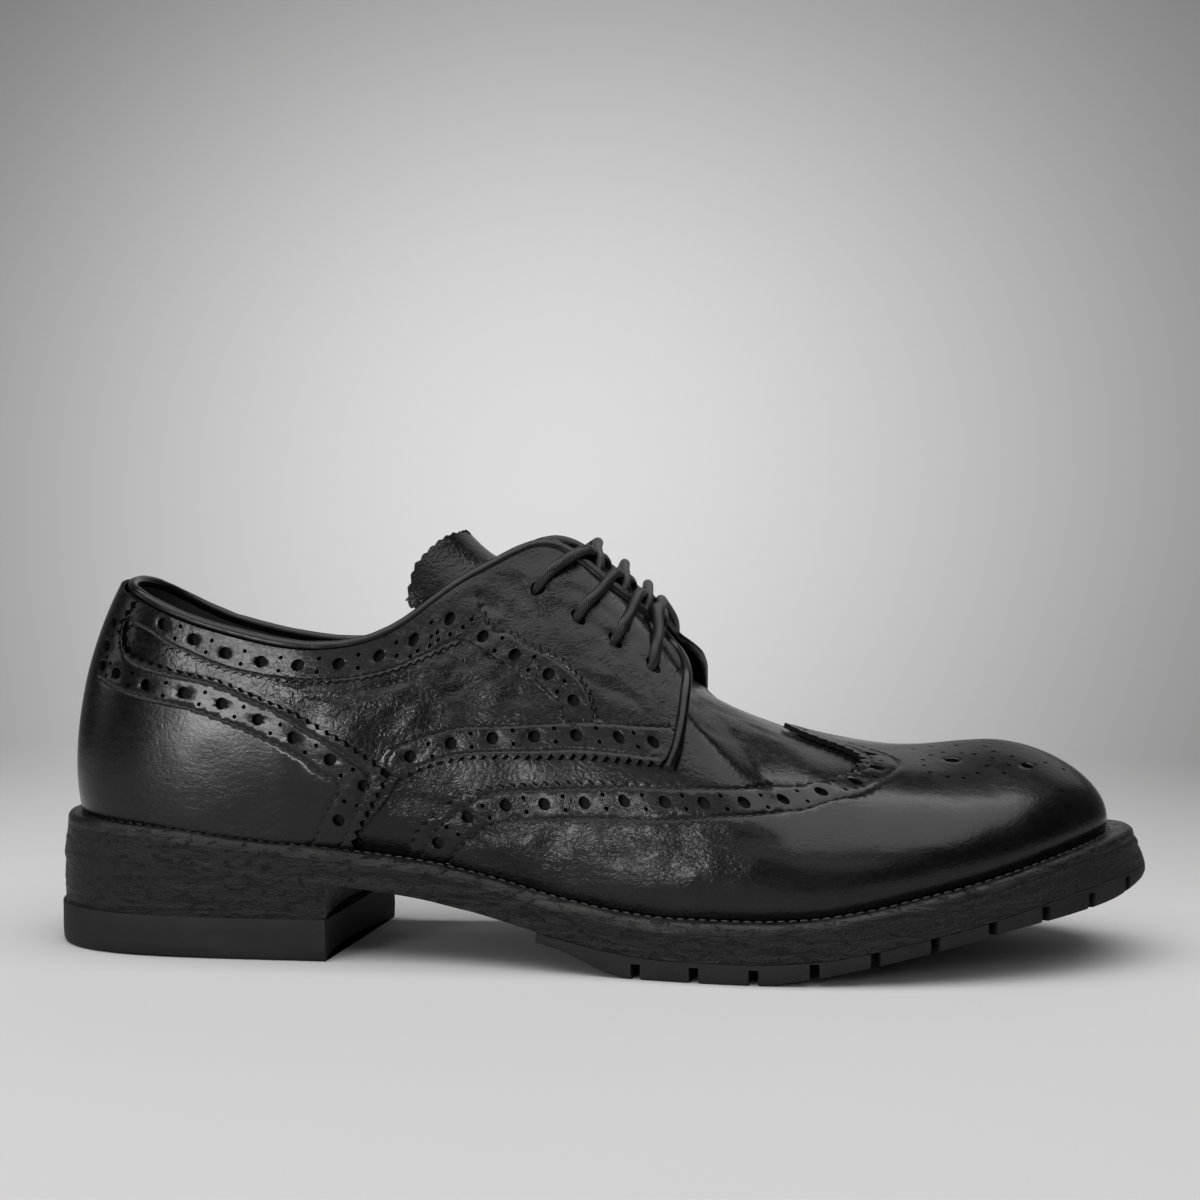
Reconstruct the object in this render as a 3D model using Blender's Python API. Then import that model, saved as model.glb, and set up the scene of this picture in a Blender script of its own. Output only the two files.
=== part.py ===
"""Right brogue shoe (derby cut, wing cap, lug half sole), built up the way it is lasted.

Metres, +X towards the toe, +Y towards the inner (medial) side, +Z up.
The origin is the middle of the heel's ground face.  The sole stack and every
piece of leather are worked out from one outline, one sole line and one last
surface, so a change of a driving size carries through all of them.
"""
import functools
import math

import bmesh
import bpy
import numpy as np
from mathutils import Vector
from mathutils.geometry import delaunay_2d_cdt

# Driving sizes of the last
LENGTH = 0.306            # outline of the welt, heel back to toe tip
BALL_WIDTH = 0.109        # outline of the welt across the ball
INSTEP_HEIGHT = 0.0926    # top of the facings above the welt
COLLAR_WIDTH = 0.057      # widest part of the collar
HEEL_RISE = 0.021         # welt at the heel back above the welt at the ball
TOE_SPRING = 0.021        # welt at the toe tip above the welt at the ball
REST_BACK = 0.038         # heel back to the origin

# Sole stack
WELT = 0.003
MIDSOLE = 0.007
TREAD = 0.006
WAIST_THINNING = 0.0008   # how much thinner the midsole is at the heel breast
HEEL_LENGTH = 0.082
HEEL_SKEW = 0.006         # inner corner of the breast lies this much further forward
BREAST_HOLLOW = 0.004
TOP_PIECE = 0.0115        # rubber piece under the heel
STACK_PROUD = 0.0008
TOP_PIECE_PROUD = 0.0016
TREAD_START = 0.462       # share of the length where the half sole begins
NOTCH_START = 0.552       # share of the length where the first groove lies
NOTCH_PITCH = 0.0160
NOTCH_WIDTH = 0.0026
NOTCH_DEPTH = 0.009
NOTCH_HEIGHT = 0.0042
FLARE = 0.003             # how far the sole edge leans in from the tread to the welt at the toe
EDGE_ROUND = 0.0016
SEAT = 0.004              # how far the welt reaches in under the insole

# Leathers
WALL = 0.0018             # vamp with its lining
LEATHER = 0.0012          # overlays
GAP = 0.0003              # air between faceted neighbours
LAYER_GAP = 0.0011        # between vertices of two leathers; their facets come nearer
FLAP_LIFT = 0.0058        # how far the facings' front corner springs off the vamp
BINDING = 0.003           # diameter of the rolled edge
INSOLE = 0.003
TONGUE_WALL = 0.002
TONGUE_RADIUS = 0.0174
TONGUE_SWEEP = 76.0       # degrees each side of the middle line
TONGUE_SPREAD = 0.14      # how much wider the tip opens
LACE = 0.0031
NORMAL_TOP = .985         # above this height share a normal is read just below, where the stations still spread
SEAM = 1e-5               # shares this close to the middle line are on it
SLIVER = 1e-8             # twice the area below which a triangle is left out
EYELET = 0.0044

# Sole line: x / LENGTH, share of HEEL_RISE, share of TOE_SPRING
SOLE_LINE = [(0, 1, 0), (.08, .962, 0), (.14, .88, 0), (.20, .785, 0), (.28, .69, 0), (.36, .565, 0),
             (.42, .40, 0), (.48, .19, 0), (.54, .045, 0), (.58, 0, 0), (.65, 0, 0), (.70, 0, .035),
             (.75, 0, .14), (.80, 0, .30), (.85, 0, .465), (.90, 0, .66), (.95, 0, .84), (1.0, 0, .97)]
# Underside of the tread: x / LENGTH, height / (WELT + MIDSOLE + TREAD)
TREAD_LINE = [(.44, .80), (.462, .58), (.50, .27), (.53, .05), (.55, 0), (.66, 0), (.70, .10), (.755, .31),
              (.80, .50), (.845, .70), (.88, .86), (.93, 1.03), (.97, 1.18), (1.0, 1.42)]
# Outline: station t, outer half breadth and inner half breadth / BALL_WIDTH.  x runs as a cosine of t.
OUTLINE = [(0, 0, 0), (.1, .188, .184), (.2, .287, .283), (.3, .310, .303), (.4, .330, .292), (.5, .417, .353),
           (.6, .495, .477), (.7, .454, .505), (.8, .326, .408), (.9, .142, .243), (1.0, -.046, .046)]
# Welt showing outside the upper: station t, share of BALL_WIDTH
WELT_MARGIN = [(0, .055), (.2, .047), (.4, .046), (.6, .064), (.8, .073), (1.0, .101)]
# Collar, facings and throat: t, x / LENGTH, outer and inner half breadth / COLLAR_WIDTH,
# outer and inner height above the welt / INSTEP_HEIGHT
COLLAR = [(0, .0595, 0, 0, .706, .706), (.07, .0665, .218, .210, .693, .693), (.14, .092, .368, .351, .660, .646),
          (.21, .137, .438, .421, .618, .590), (.28, .196, .482, .465, .590, .560), (.34, .261, .499, .482, .585, .556),
          (.39, .327, .460, .443, .662, .630), (.43, .376, .391, .382, .802, .790), (.47, .425, .289, .289, .928, .928),
          (.505, .467, .219, .228, .995, .995), (.54, .507, .211, .219, .907, .915), (.575, .539, .219, .219, .798, .802),
          (.605, .563, .193, .193, .697, .700), (.63, .582, 0, 0, .650, .650)]
THROAT_END = .63
# Ridge of the vamp: x / LENGTH, height / INSTEP_HEIGHT, y / BALL_WIDTH
RIDGE = [(.556, .864, .005), (.582, .823, .005), (.611, .771, .009), (.641, .726, .013), (.670, .686, .017),
         (.699, .655, .020), (.732, .632, .024), (.765, .620, .028), (.804, .624, .030), (.843, .637, .033),
         (.869, .639, .035), (.895, .628, .037), (.928, .589, .037)]
# Where each station meets the ridge: t, x / LENGTH
RIDGE_STATION = [(.63, .582), (.70, .663), (.77, .732), (.84, .784), (.92, .827), (1.0, .850)]
# Profile handles / INSTEP_HEIGHT: t, low out, low up, high out, high up (outer side, then inner side)
PROFILE_OUTER = [(0, .037, .14, .15, -.265), (.1, .045, .151, .108, -.259), (.2, .049, .173, .065, -.238),
                 (.3, .059, .194, .054, -.194), (.4, .065, .216, .086, -.216), (.5, .065, .259, .173, -.281),
                 (.6, .076, .259, .238, -.108), (.7, .065, .238, .324, -.108), (.8, .054, .205, .292, -.086),
                 (.9, .043, .162, .227, -.065), (1.0, .038, .130, .194, -.054)]
PROFILE_INNER = [(0, .037, .14, .15, -.265), (.1, .045, .151, .108, -.259), (.2, .049, .173, .065, -.238),
                 (.3, .059, .194, .054, -.194), (.4, .086, .216, .086, -.216), (.5, .086, .281, .173, -.281),
                 (.6, .065, .302, .238, -.108), (.7, .043, .281, .324, -.108), (.8, .043, .216, .302, -.086),
                 (.9, .043, .162, .238, -.065), (1.0, .038, .130, .194, -.054)]
# Edges of the overlays as station t and height share w, read along the seam
WING_EDGE = [(.690, 1), (.700, .90), (.710, .81), (.722, .71), (.700, .628), (.668, .54), (.614, .475), (.558, .415),
             (.507, .365), (.462, .338), (.444, .32), (.426, .28), (.408, .18), (.400, .12), (.396, 0)]
COUNTER_EDGE = [(.125, 1), (.113, .90), (.120, .838), (.145, .797), (.200, .792), (.253, .787), (.296, .738),
                (.329, .672), (.347, .583), (.364, .487), (.381, .357), (.374, .245), (.366, .12), (.360, 0)]
QUARTER_EDGE = [(.600, 1), (.594, .86), (.583, .72), (.566, .56), (.553, .463), (.509, .43), (.446, .42),
                (.415, .408), (.390, .352), (.378, .22), (.366, .10), (.355, 0)]
# Eyelets on a facing: t, w
EYELETS = [(.487, .875), (.512, .835), (.538, .812), (.566, .80)]
# How far along the facing each row's strands slant before they pass its edge, in station t
LACE_REACH = [.036, .032, .026, .012]
# Middle line of the tongue's face: x / LENGTH, height / INSTEP_HEIGHT, from under the vamp to its tip
TONGUE_LINE = [(.590, .735), (.570, .790), (.542, .880), (.510, .975), (.478, 1.055), (.445, 1.115), (.412, 1.175),
               (.376, 1.275)]


def monotone(x, table, column=1):
    """Curve through a table's points that never overshoots them."""
    rows = np.asarray(table, float)
    xs, ys = rows[:, 0], rows[:, column]
    h = np.diff(xs)
    slope = np.diff(ys) / h
    tangent = np.zeros(len(xs))
    tangent[0], tangent[-1] = slope[0], slope[-1]
    for i in range(1, len(xs) - 1):
        if slope[i - 1] * slope[i] > 0:
            a, b = 2 * h[i] + h[i - 1], h[i] + 2 * h[i - 1]
            tangent[i] = (a + b) / (a / slope[i - 1] + b / slope[i])
    x = np.asarray(x, float)
    i = np.clip(np.searchsorted(xs, x) - 1, 0, len(h) - 1)
    s = np.clip((x - xs[i]) / h[i], 0, 1)
    return (ys[i] * (1 + 2 * s) * (1 - s) ** 2 + tangent[i] * h[i] * s * (1 - s) ** 2
            + ys[i + 1] * s * s * (3 - 2 * s) + tangent[i + 1] * h[i] * s * s * (s - 1))


@functools.lru_cache(maxsize=None)
def bending(xs, ys):
    """Second derivatives of the natural cubic spline through these points."""
    xs, ys = np.asarray(xs, float), np.asarray(ys, float)
    n, h = len(xs), np.diff(xs)
    a, b = np.eye(n), np.zeros(n)
    for i in range(1, n - 1):
        a[i, i - 1:i + 2] = h[i - 1], 2 * (h[i - 1] + h[i]), h[i]
        b[i] = 6 * ((ys[i + 1] - ys[i]) / h[i] - (ys[i] - ys[i - 1]) / h[i - 1])
    return np.linalg.solve(a, b)


def smooth(x, xs, ys):
    """Natural cubic spline."""
    xs, ys = np.asarray(xs, float), np.asarray(ys, float)
    h = np.diff(xs)
    m = bending(tuple(xs), tuple(ys))
    x = np.asarray(x, float)
    i = np.clip(np.searchsorted(xs, x) - 1, 0, len(xs) - 2)
    p, q = (xs[i + 1] - x) / h[i], (x - xs[i]) / h[i]
    return p * ys[i] + q * ys[i + 1] + ((p ** 3 - p) * m[i] + (q ** 3 - q) * m[i + 1]) * h[i] ** 2 / 6


def around(u, table, outer, inner, sign=1.0):
    """Spline over the whole outline; u runs from the toe (-1) by the outer side and heel (0) to the toe (1)."""
    rows = np.asarray(table, float)
    stations = np.concatenate([-rows[:0:-1, 0], rows[:, 0]])
    values = np.concatenate([sign * rows[:0:-1, outer], rows[:, inner]])
    wrap = 4
    stations = np.concatenate([stations[-wrap - 1:-1] - 2, stations, stations[1:wrap + 1] + 2])
    values = np.concatenate([values[-wrap - 1:-1], values, values[1:wrap + 1]])
    return smooth(u, stations, values)


def welt_top(x):
    """Height of the welt's top face; x from the heel back."""
    q = np.clip(np.asarray(x, float) / LENGTH, 0, 1)
    return WELT + MIDSOLE + TREAD + HEEL_RISE * monotone(q, SOLE_LINE) + TOE_SPRING * monotone(q, SOLE_LINE, 2)


def midsole_bottom(x):
    q = np.clip(np.asarray(x, float) / LENGTH, 0, 1)
    breast = HEEL_LENGTH / LENGTH
    thinning = WAIST_THINNING * np.exp(-((q - breast) / .09) ** 2)
    return welt_top(x) - WELT - GAP - MIDSOLE + thinning


def tread_bottom(x):
    q = np.clip(np.asarray(x, float) / LENGTH, 0, 1)
    return np.maximum((WELT + MIDSOLE + TREAD) * monotone(q, TREAD_LINE), 0)


def outline(u, inset=0.0):
    """Points of the sole outline moved inwards by inset."""
    def base(v):
        return np.stack([LENGTH * (1 - np.cos(math.pi * v)) / 2, BALL_WIDTH * around(v, OUTLINE, 1, 2, -1.0)], -1)
    u = np.asarray(u, float)
    step = 1e-3
    along = base(u + step) - base(u - step)
    along /= np.linalg.norm(along, axis=-1, keepdims=True)
    inward = np.stack([along[..., 1], -along[..., 0]], -1)
    return base(u) + inward * np.broadcast_to(inset, u.shape)[..., None]


def feather(u):
    return outline(u, BALL_WIDTH * around(u, WELT_MARGIN, 1, 1))


def ridge_height(x):
    rows = np.asarray(RIDGE)
    return INSTEP_HEIGHT * smooth(x / LENGTH, rows[:, 0], rows[:, 1])


def top_line(u):
    """Collar and throat edge, then the ridge that the two sides share."""
    a = np.abs(u)
    open_u = np.clip(u, -THROAT_END, THROAT_END)
    rows = np.asarray(COLLAR)
    stations = np.concatenate([-rows[:0:-1, 0], rows[:, 0]])
    def both(outer, inner, sign=1.0):
        return smooth(open_u, stations, np.concatenate([sign * rows[:0:-1, outer], rows[:, inner]]))
    rs = np.asarray(RIDGE_STATION)
    ridge_x = LENGTH * smooth(np.clip(a, THROAT_END, 1.2), np.concatenate([rs[:, 0], 2 - rs[-2::-1, 0]]),
                              np.concatenate([rs[:, 1], rs[-2::-1, 1]]))
    front = a >= THROAT_END
    x = np.where(front, ridge_x, LENGTH * both(1, 1))
    rr = np.asarray(RIDGE)
    ridge_y = BALL_WIDTH * smooth(ridge_x / LENGTH, rr[:, 0], rr[:, 2])
    y = np.where(front, ridge_y, COLLAR_WIDTH * both(2, 3, -1.0))
    z = np.where(front, ridge_height(ridge_x), welt_top(x) + INSTEP_HEIGHT * both(4, 5))
    return np.stack([x, y, z], -1), front


def last(u, w):
    """The last's surface: w 0 is the feather line at the welt, w 1 the collar or the ridge."""
    u, w = np.broadcast_arrays(np.asarray(u, float), np.asarray(w, float))
    foot2 = feather(u)
    foot = np.concatenate([foot2, (welt_top(foot2[..., 0]) + GAP)[..., None]], -1)
    top, front = top_line(u)
    def handle(k):
        rows = [(a[0], a[k], b[k]) for a, b in zip(PROFILE_OUTER, PROFILE_INNER)]
        return INSTEP_HEIGHT * around(u, rows, 1, 2)
    low_out, low_up, high_out, high_up = (handle(k) for k in (1, 2, 3, 4))
    out = foot[..., :2] - top[..., :2]
    out /= np.maximum(np.linalg.norm(out, axis=-1, keepdims=True), 1e-9)
    p1, p2 = foot.copy(), top.copy()
    p1[..., :2] += out * low_out[..., None]
    p1[..., 2] += low_up
    p2[..., :2] += out * high_out[..., None]
    step = 0.0005
    fall = (ridge_height(top[..., 0] + step) - ridge_height(top[..., 0] - step)) / (2 * step)
    p2[..., 2] += np.where(front, fall * out[..., 0] * high_out, high_up)
    q = w[..., None]
    return foot * (1 - q) ** 3 + 3 * p1 * q * (1 - q) ** 2 + 3 * p2 * q * q * (1 - q) + top * q ** 3


def normals(u, w):
    """Outward normals of the last."""
    u, w = np.broadcast_arrays(np.asarray(u, float), np.minimum(w, NORMAL_TOP))
    step = 2e-3
    a = np.abs(u)
    side = np.where(u < 0, -1.0, 1.0)
    lo_u = np.where((a >= THROAT_END) | (a < THROAT_END - step), u - step, u - step * (1 + side))
    hi_u = np.where((a >= THROAT_END) | (a < THROAT_END - step), u + step, u + step * (1 - side))
    du = last(hi_u, w) - last(lo_u, w)
    dw = last(u, np.minimum(w + step, 1)) - last(u, np.maximum(w - step, 0))
    n = np.cross(dw, du)
    return n / np.maximum(np.linalg.norm(n, axis=-1, keepdims=True), 1e-12)


def leather(u, w, height):
    """Points at a height off the last; the bottom row stays level above the welt."""
    u, w = np.broadcast_arrays(np.asarray(u, float), np.asarray(w, float))
    p = last(u, w) + normals(u, w) * np.broadcast_to(height, u.shape)[..., None]
    p[..., 2] = np.where(w <= 0, welt_top(p[..., 0]) + GAP, p[..., 2])
    return p


def ease(x):
    x = np.clip(x, 0, 1)
    return x * x * (3 - 2 * x)


def flap_lift(u, w):
    """The facings spring up towards their front corner."""
    return FLAP_LIFT * ease((np.abs(u) - .50) / .105) * ease((w - .50) / .50)


def material(name, colour, rough, metallic=0.0):
    m = bpy.data.materials.new(name)
    m.use_nodes = True
    shader = m.node_tree.nodes["Principled BSDF"]
    shader.inputs["Base Color"].default_value = (*colour, 1)
    shader.inputs["Roughness"].default_value = rough
    shader.inputs["Metallic"].default_value = metallic
    return m


LEATHER_BLACK = material("polished leather", (.020, .020, .021), .38)
LINING = material("lining leather", (.035, .033, .031), .55)
SOLE_LEATHER = material("sole leather", (.022, .021, .020), .60)
RUBBER = material("rubber", (.020, .020, .020), .75)
CORD = material("waxed cord", (.018, .018, .018), .50)


def add(name, points, faces, mat):
    """A named object from points measured from the heel back."""
    mesh = bpy.data.meshes.new(name)
    shift = np.array([REST_BACK, 0, 0])
    mesh.from_pydata([tuple(p) for p in np.asarray(points) - shift], [], [tuple(f) for f in faces])
    mesh.materials.append(mat)
    bm = bmesh.new()
    bm.from_mesh(mesh)
    bmesh.ops.remove_doubles(bm, verts=bm.verts, dist=2e-6)
    bmesh.ops.dissolve_degenerate(bm, dist=1e-6, edges=bm.edges)
    bmesh.ops.triangulate(bm, faces=bm.faces)
    bmesh.ops.recalc_face_normals(bm, faces=bm.faces)
    if bm.calc_volume(signed=True) < 0:
        bmesh.ops.reverse_faces(bm, faces=bm.faces)
    bm.to_mesh(mesh)
    bm.free()
    mesh.shade_smooth()
    mesh.set_sharp_from_angle(angle=math.radians(40))
    obj = bpy.data.objects.new(name, mesh)
    bpy.context.scene.collection.objects.link(obj)
    return obj


def stack(name, rings, mat, closed=False):
    """Solid through rings of equal length; the ends are capped across, or the rings close on themselves."""
    n = len(rings[0])
    points = np.concatenate(rings)
    faces = []
    last_ring = len(rings) if closed else len(rings) - 1
    for k in range(last_ring):
        a, b = k * n, ((k + 1) % len(rings)) * n
        faces += [(a + i, a + (i + 1) % n, b + (i + 1) % n, b + i) for i in range(n)]
    if not closed:
        for base, flip in ((0, False), ((len(rings) - 1) * n, True)):
            for i in range(n // 2):
                j = n - 1 - i
                if j - i < 2:
                    break
                quad = (base + i, base + i + 1, base + j - 1, base + j)
                quad = tuple(dict.fromkeys(quad))
                faces.append(quad[::-1] if flip else quad)
    return add(name, points, faces, mat)


def level(plan, height):
    """A ring in plan lifted to a height that depends on x."""
    return np.concatenate([plan, np.broadcast_to(height(plan[:, 0]), plan.shape[:1])[:, None]], -1)


def toe_draw_in(u):
    """The sole edge leans in towards its top at the toe."""
    return FLARE * ease((np.abs(u) - .55) / .4)


def build_sole():
    count = 62
    u = (np.arange(count) + .5) / count * 2 - 1
    margin = BALL_WIDTH * around(u, WELT_MARGIN, 1, 1)
    inner = margin + WALL + LEATHER + GAP + SEAT
    lean = toe_draw_in(u)
    welt = [level(outline(u, inner), lambda x: welt_top(x)),
            level(outline(u, EDGE_ROUND + 1.3 * lean), lambda x: welt_top(x)),
            level(outline(u, 0.3 * EDGE_ROUND + lean), lambda x: welt_top(x) - 0.6 * EDGE_ROUND),
            level(outline(u, 0.9 * lean), lambda x: welt_top(x) - WELT),
            level(outline(u, inner), lambda x: welt_top(x) - WELT)]
    stack("welt", welt, SOLE_LEATHER, closed=True)
    mid = [level(outline(u, 0.3 * EDGE_ROUND + 0.8 * lean), lambda x: welt_top(x) - WELT - GAP),
           level(outline(u, 0.4 * lean), lambda x: welt_top(x) - WELT - GAP - 0.4 * MIDSOLE),
           level(outline(u, 0.0), midsole_bottom)]
    stack("midsole", mid, SOLE_LEATHER)
    rim = margin + WALL + LEATHER + LAYER_GAP + 3 * GAP
    plug = inner + GAP
    insole = [level(outline(u, rim), lambda x: welt_top(x) + GAP + INSOLE),
              level(outline(u, rim), lambda x: welt_top(x) + GAP),
              level(outline(u, plug), lambda x: welt_top(x) + GAP),
              level(outline(u, plug), lambda x: welt_top(x) - WELT)]
    stack("insole", insole, LINING)


def station_at(x):
    """Station t whose outline point lies at x."""
    return math.acos(1 - 2 * x / LENGTH) / math.pi


def build_heel():
    count = 13
    t_outer, t_inner = station_at(HEEL_LENGTH), station_at(HEEL_LENGTH + HEEL_SKEW)
    def ring(inset, height):
        u = np.linspace(-t_outer, t_inner, 2 * count)
        side = outline(u, inset)
        a, b = side[-1], side[0]
        s = np.linspace(0, 1, 8)[1:-1, None]
        breast = a + (b - a) * s
        breast[:, 0] -= BREAST_HOLLOW * 4 * (s * (1 - s))[:, 0]
        half = len(breast) // 2
        plan = np.concatenate([breast[half:], side, breast[:half]])
        return level(plan, height)
    top = [ring(-STACK_PROUD, lambda x: midsole_bottom(x) - GAP),
           ring(-STACK_PROUD, lambda x: TOP_PIECE + GAP + 0 * x)]
    stack("heel_stack", top, SOLE_LEATHER)
    rubber = [ring(-TOP_PIECE_PROUD, lambda x: TOP_PIECE + 0 * x),
              ring(-TOP_PIECE_PROUD, lambda x: EDGE_ROUND / 2 + 0 * x),
              ring(-TOP_PIECE_PROUD + EDGE_ROUND / 2, lambda x: 0 * x)]
    stack("heel_top_piece", rubber, RUBBER)


def build_tread():
    start = station_at(TREAD_START * LENGTH)
    front = np.linspace(start, 1, 26)
    u = np.concatenate([-front[:-1], front[:-1][::-1]])
    def ring(inset, height):
        return level(outline(u, inset), height)
    rings = [ring(0.0, lambda x: midsole_bottom(x) - GAP),
             ring(-0.0003, lambda x: midsole_bottom(x) - GAP - 0.4 * TREAD),
             ring(EDGE_ROUND / 2, lambda x: np.minimum(tread_bottom(x), midsole_bottom(x) - GAP - TREAD / 2))]
    tread = stack("outsole_tread", rings, RUBBER)
    cut_notches(tread)


def cut_notches(tread):
    """Side grooves between the lugs, square to the edge and evenly spaced along it."""
    points, faces = [], []
    for side in (-1, 1):
        stations = side * np.linspace(station_at(NOTCH_START * LENGTH), 1, 400)
        run = np.concatenate([[0], np.cumsum(np.linalg.norm(np.diff(outline(stations), axis=0), axis=1))])
        for k in range(int(run[-1] / NOTCH_PITCH)):
            u = np.interp(k * NOTCH_PITCH, run, stations)
            edge = outline(np.array([u]), -NOTCH_DEPTH)[0]
            inside_end = outline(np.array([u]), NOTCH_DEPTH)[0]
            across = np.array([-(inside_end - edge)[1], (inside_end - edge)[0]])
            across *= NOTCH_WIDTH / 2 / np.linalg.norm(across)
            floor = float(tread_bottom(outline(np.array([u]))[0, 0]))
            base = len(points)
            for height in (floor - TREAD, floor + NOTCH_HEIGHT):
                for corner in (edge + across, edge - across, inside_end - across, inside_end + across):
                    points.append((*corner, height))
            faces += [tuple(base + i for i in f) for f in
                      ((0, 1, 2, 3), (4, 7, 6, 5), (0, 4, 5, 1), (1, 5, 6, 2), (2, 6, 7, 3), (3, 7, 4, 0))]
    cutter = add("notch_cutter", points, faces, RUBBER)
    cutter.hide_render = True
    cutter.display_type = "WIRE"
    cut = tread.modifiers.new("notches", "BOOLEAN")
    cut.operation = "DIFFERENCE"
    cut.solver = "EXACT"
    cut.object = cutter


def build_upper():
    """Vamp and lining in one lasted shell, open at the collar, down the throat and underneath."""
    t = np.unique(np.concatenate([np.linspace(0, .20, 7), np.linspace(.20, THROAT_END, 19),
                                  np.linspace(THROAT_END, 1, 11)]))
    w = np.array([0, .06, .15, .26, .37, .47, .57, .68, .79, .90, 1.0])
    points, index = [], {}
    outer_height, inner_height = -LEATHER - LAYER_GAP, -LEATHER - LAYER_GAP - WALL
    def vertex(layer, side, i, j):
        if i == 0 or i == len(t) - 1 or (j == len(w) - 1 and t[i] >= THROAT_END):
            side = 1
        key = (layer, side, i, j)
        if key not in index:
            height = outer_height if layer == 0 else inner_height
            p = leather(side * t[i], w[j], height)
            if j == len(w) - 1 and t[i] >= THROAT_END:
                p = 0.5 * (p + leather(-t[i], w[j], height))
            index[key] = len(points)
            points.append(p)
        return index[key]
    faces = []
    for layer in (0, 1):
        for side in (-1, 1):
            for i in range(len(t) - 1):
                for j in range(len(w) - 1):
                    faces.append([vertex(layer, side, i, j), vertex(layer, side, i + 1, j),
                                  vertex(layer, side, i + 1, j + 1), vertex(layer, side, i, j + 1)])
    rows = len(w) - 1
    for side in (-1, 1):
        for i in range(len(t) - 1):
            faces.append([vertex(0, side, i, 0), vertex(0, side, i + 1, 0), vertex(1, side, i + 1, 0),
                          vertex(1, side, i, 0)])
            if t[i + 1] <= THROAT_END + 1e-9:
                faces.append([vertex(0, side, i, rows), vertex(0, side, i + 1, rows), vertex(1, side, i + 1, rows),
                              vertex(1, side, i, rows)])
    faces = [f for f in (tuple(dict.fromkeys(f)) for f in faces) if len(f) > 2]
    return add("upper", points, faces, LEATHER_BLACK)


def run_of_points(points, spacing):
    """Shares along an open line of shares, about one spacing apart on the last itself."""
    out = []
    for a, b in zip(points, points[1:]):
        a, b = np.array(a, float), np.array(b, float)
        probe = a + (b - a) * np.linspace(0, 1, 9)[:, None]
        length = np.linalg.norm(np.diff(last(-probe[:, 0], probe[:, 1]), axis=0), axis=1).sum()
        steps = max(1, math.ceil(length / spacing - .2))
        out += [tuple(a + (b - a) * k / steps) for k in range(steps)]
    return out + [tuple(points[-1])]


def closed_run(polygon, spacing):
    return run_of_points(list(polygon) + [polygon[0]], spacing)[:-1]


def girth_table():
    """Stations and how far they lie from the heel back along the middle of the last's side."""
    t = np.linspace(0, 1, 81)
    side = last(-t, .5)
    return t, np.concatenate([[0], np.cumsum(np.linalg.norm(np.diff(side, axis=0), axis=1))])


def unroll(shares):
    """Shares laid out flat in metres, so that a mesh over them is even on the last."""
    t, run = girth_table()
    shares = np.asarray(shares, float)
    return np.stack([np.interp(shares[..., 0], t, run), shares[..., 1] * INSTEP_HEIGHT], -1)


def roll_up(plane):
    t, run = girth_table()
    return np.stack([np.interp(plane[..., 0], run, t), plane[..., 1] / INSTEP_HEIGHT], -1)


def patch_mesh(polygon, spacing, holes=(), extra=()):
    """Triangles over a region of the (t, w) plane."""
    edge = closed_run(polygon, spacing)
    loops = [edge] + [closed_run(h, spacing) for h in holes]
    verts, edges = [], []
    for loop in loops:
        base = len(verts)
        verts += [Vector(p) for p in unroll(loop)]
        edges += [(base + i, base + (i + 1) % len(loop)) for i in range(len(loop))]
    outline_points = np.array([v[:] for v in verts])
    low, high = outline_points.min(0), outline_points.max(0)
    rows = int((high[1] - low[1]) / (spacing * .87))
    for r in range(1, rows + 1):
        for c in range(1, int((high[0] - low[0]) / spacing) + 1):
            p = low + np.array([(c + .5 * (r % 2)) * spacing, r * spacing * .87])
            near = np.min(np.linalg.norm(outline_points - p, axis=1))
            if near > spacing * .62 and inside(p, outline_points[:len(edge)]):
                verts.append(Vector(p))
    verts += [Vector(p) for p in unroll(np.array(extra).reshape(-1, 2))]
    result = delaunay_2d_cdt(verts, edges, [], 1, 1e-7)
    plane = np.array([v[:] for v in result[0]])
    shares = roll_up(plane)
    hole_polygons = [unroll(h) for h in holes]
    faces = []
    for f in result[2]:
        a, b, c = (plane[i] for i in f)
        sliver = abs((b[0] - a[0]) * (c[1] - a[1]) - (b[1] - a[1]) * (c[0] - a[0])) < SLIVER
        if not sliver and not any(inside((a + b + c) / 3, h) for h in hole_polygons):
            faces.append(tuple(f))
    return shares, faces


def inside(p, polygon):
    x, y = p
    a, b = polygon, np.roll(polygon, -1, axis=0)
    crosses = (a[:, 1] > y) != (b[:, 1] > y)
    with np.errstate(divide="ignore", invalid="ignore"):
        at = a[:, 0] + (y - a[:, 1]) / (b[:, 1] - a[:, 1]) * (b[:, 0] - a[:, 0])
    return bool(np.sum(crosses & (x < at)) % 2)


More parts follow.
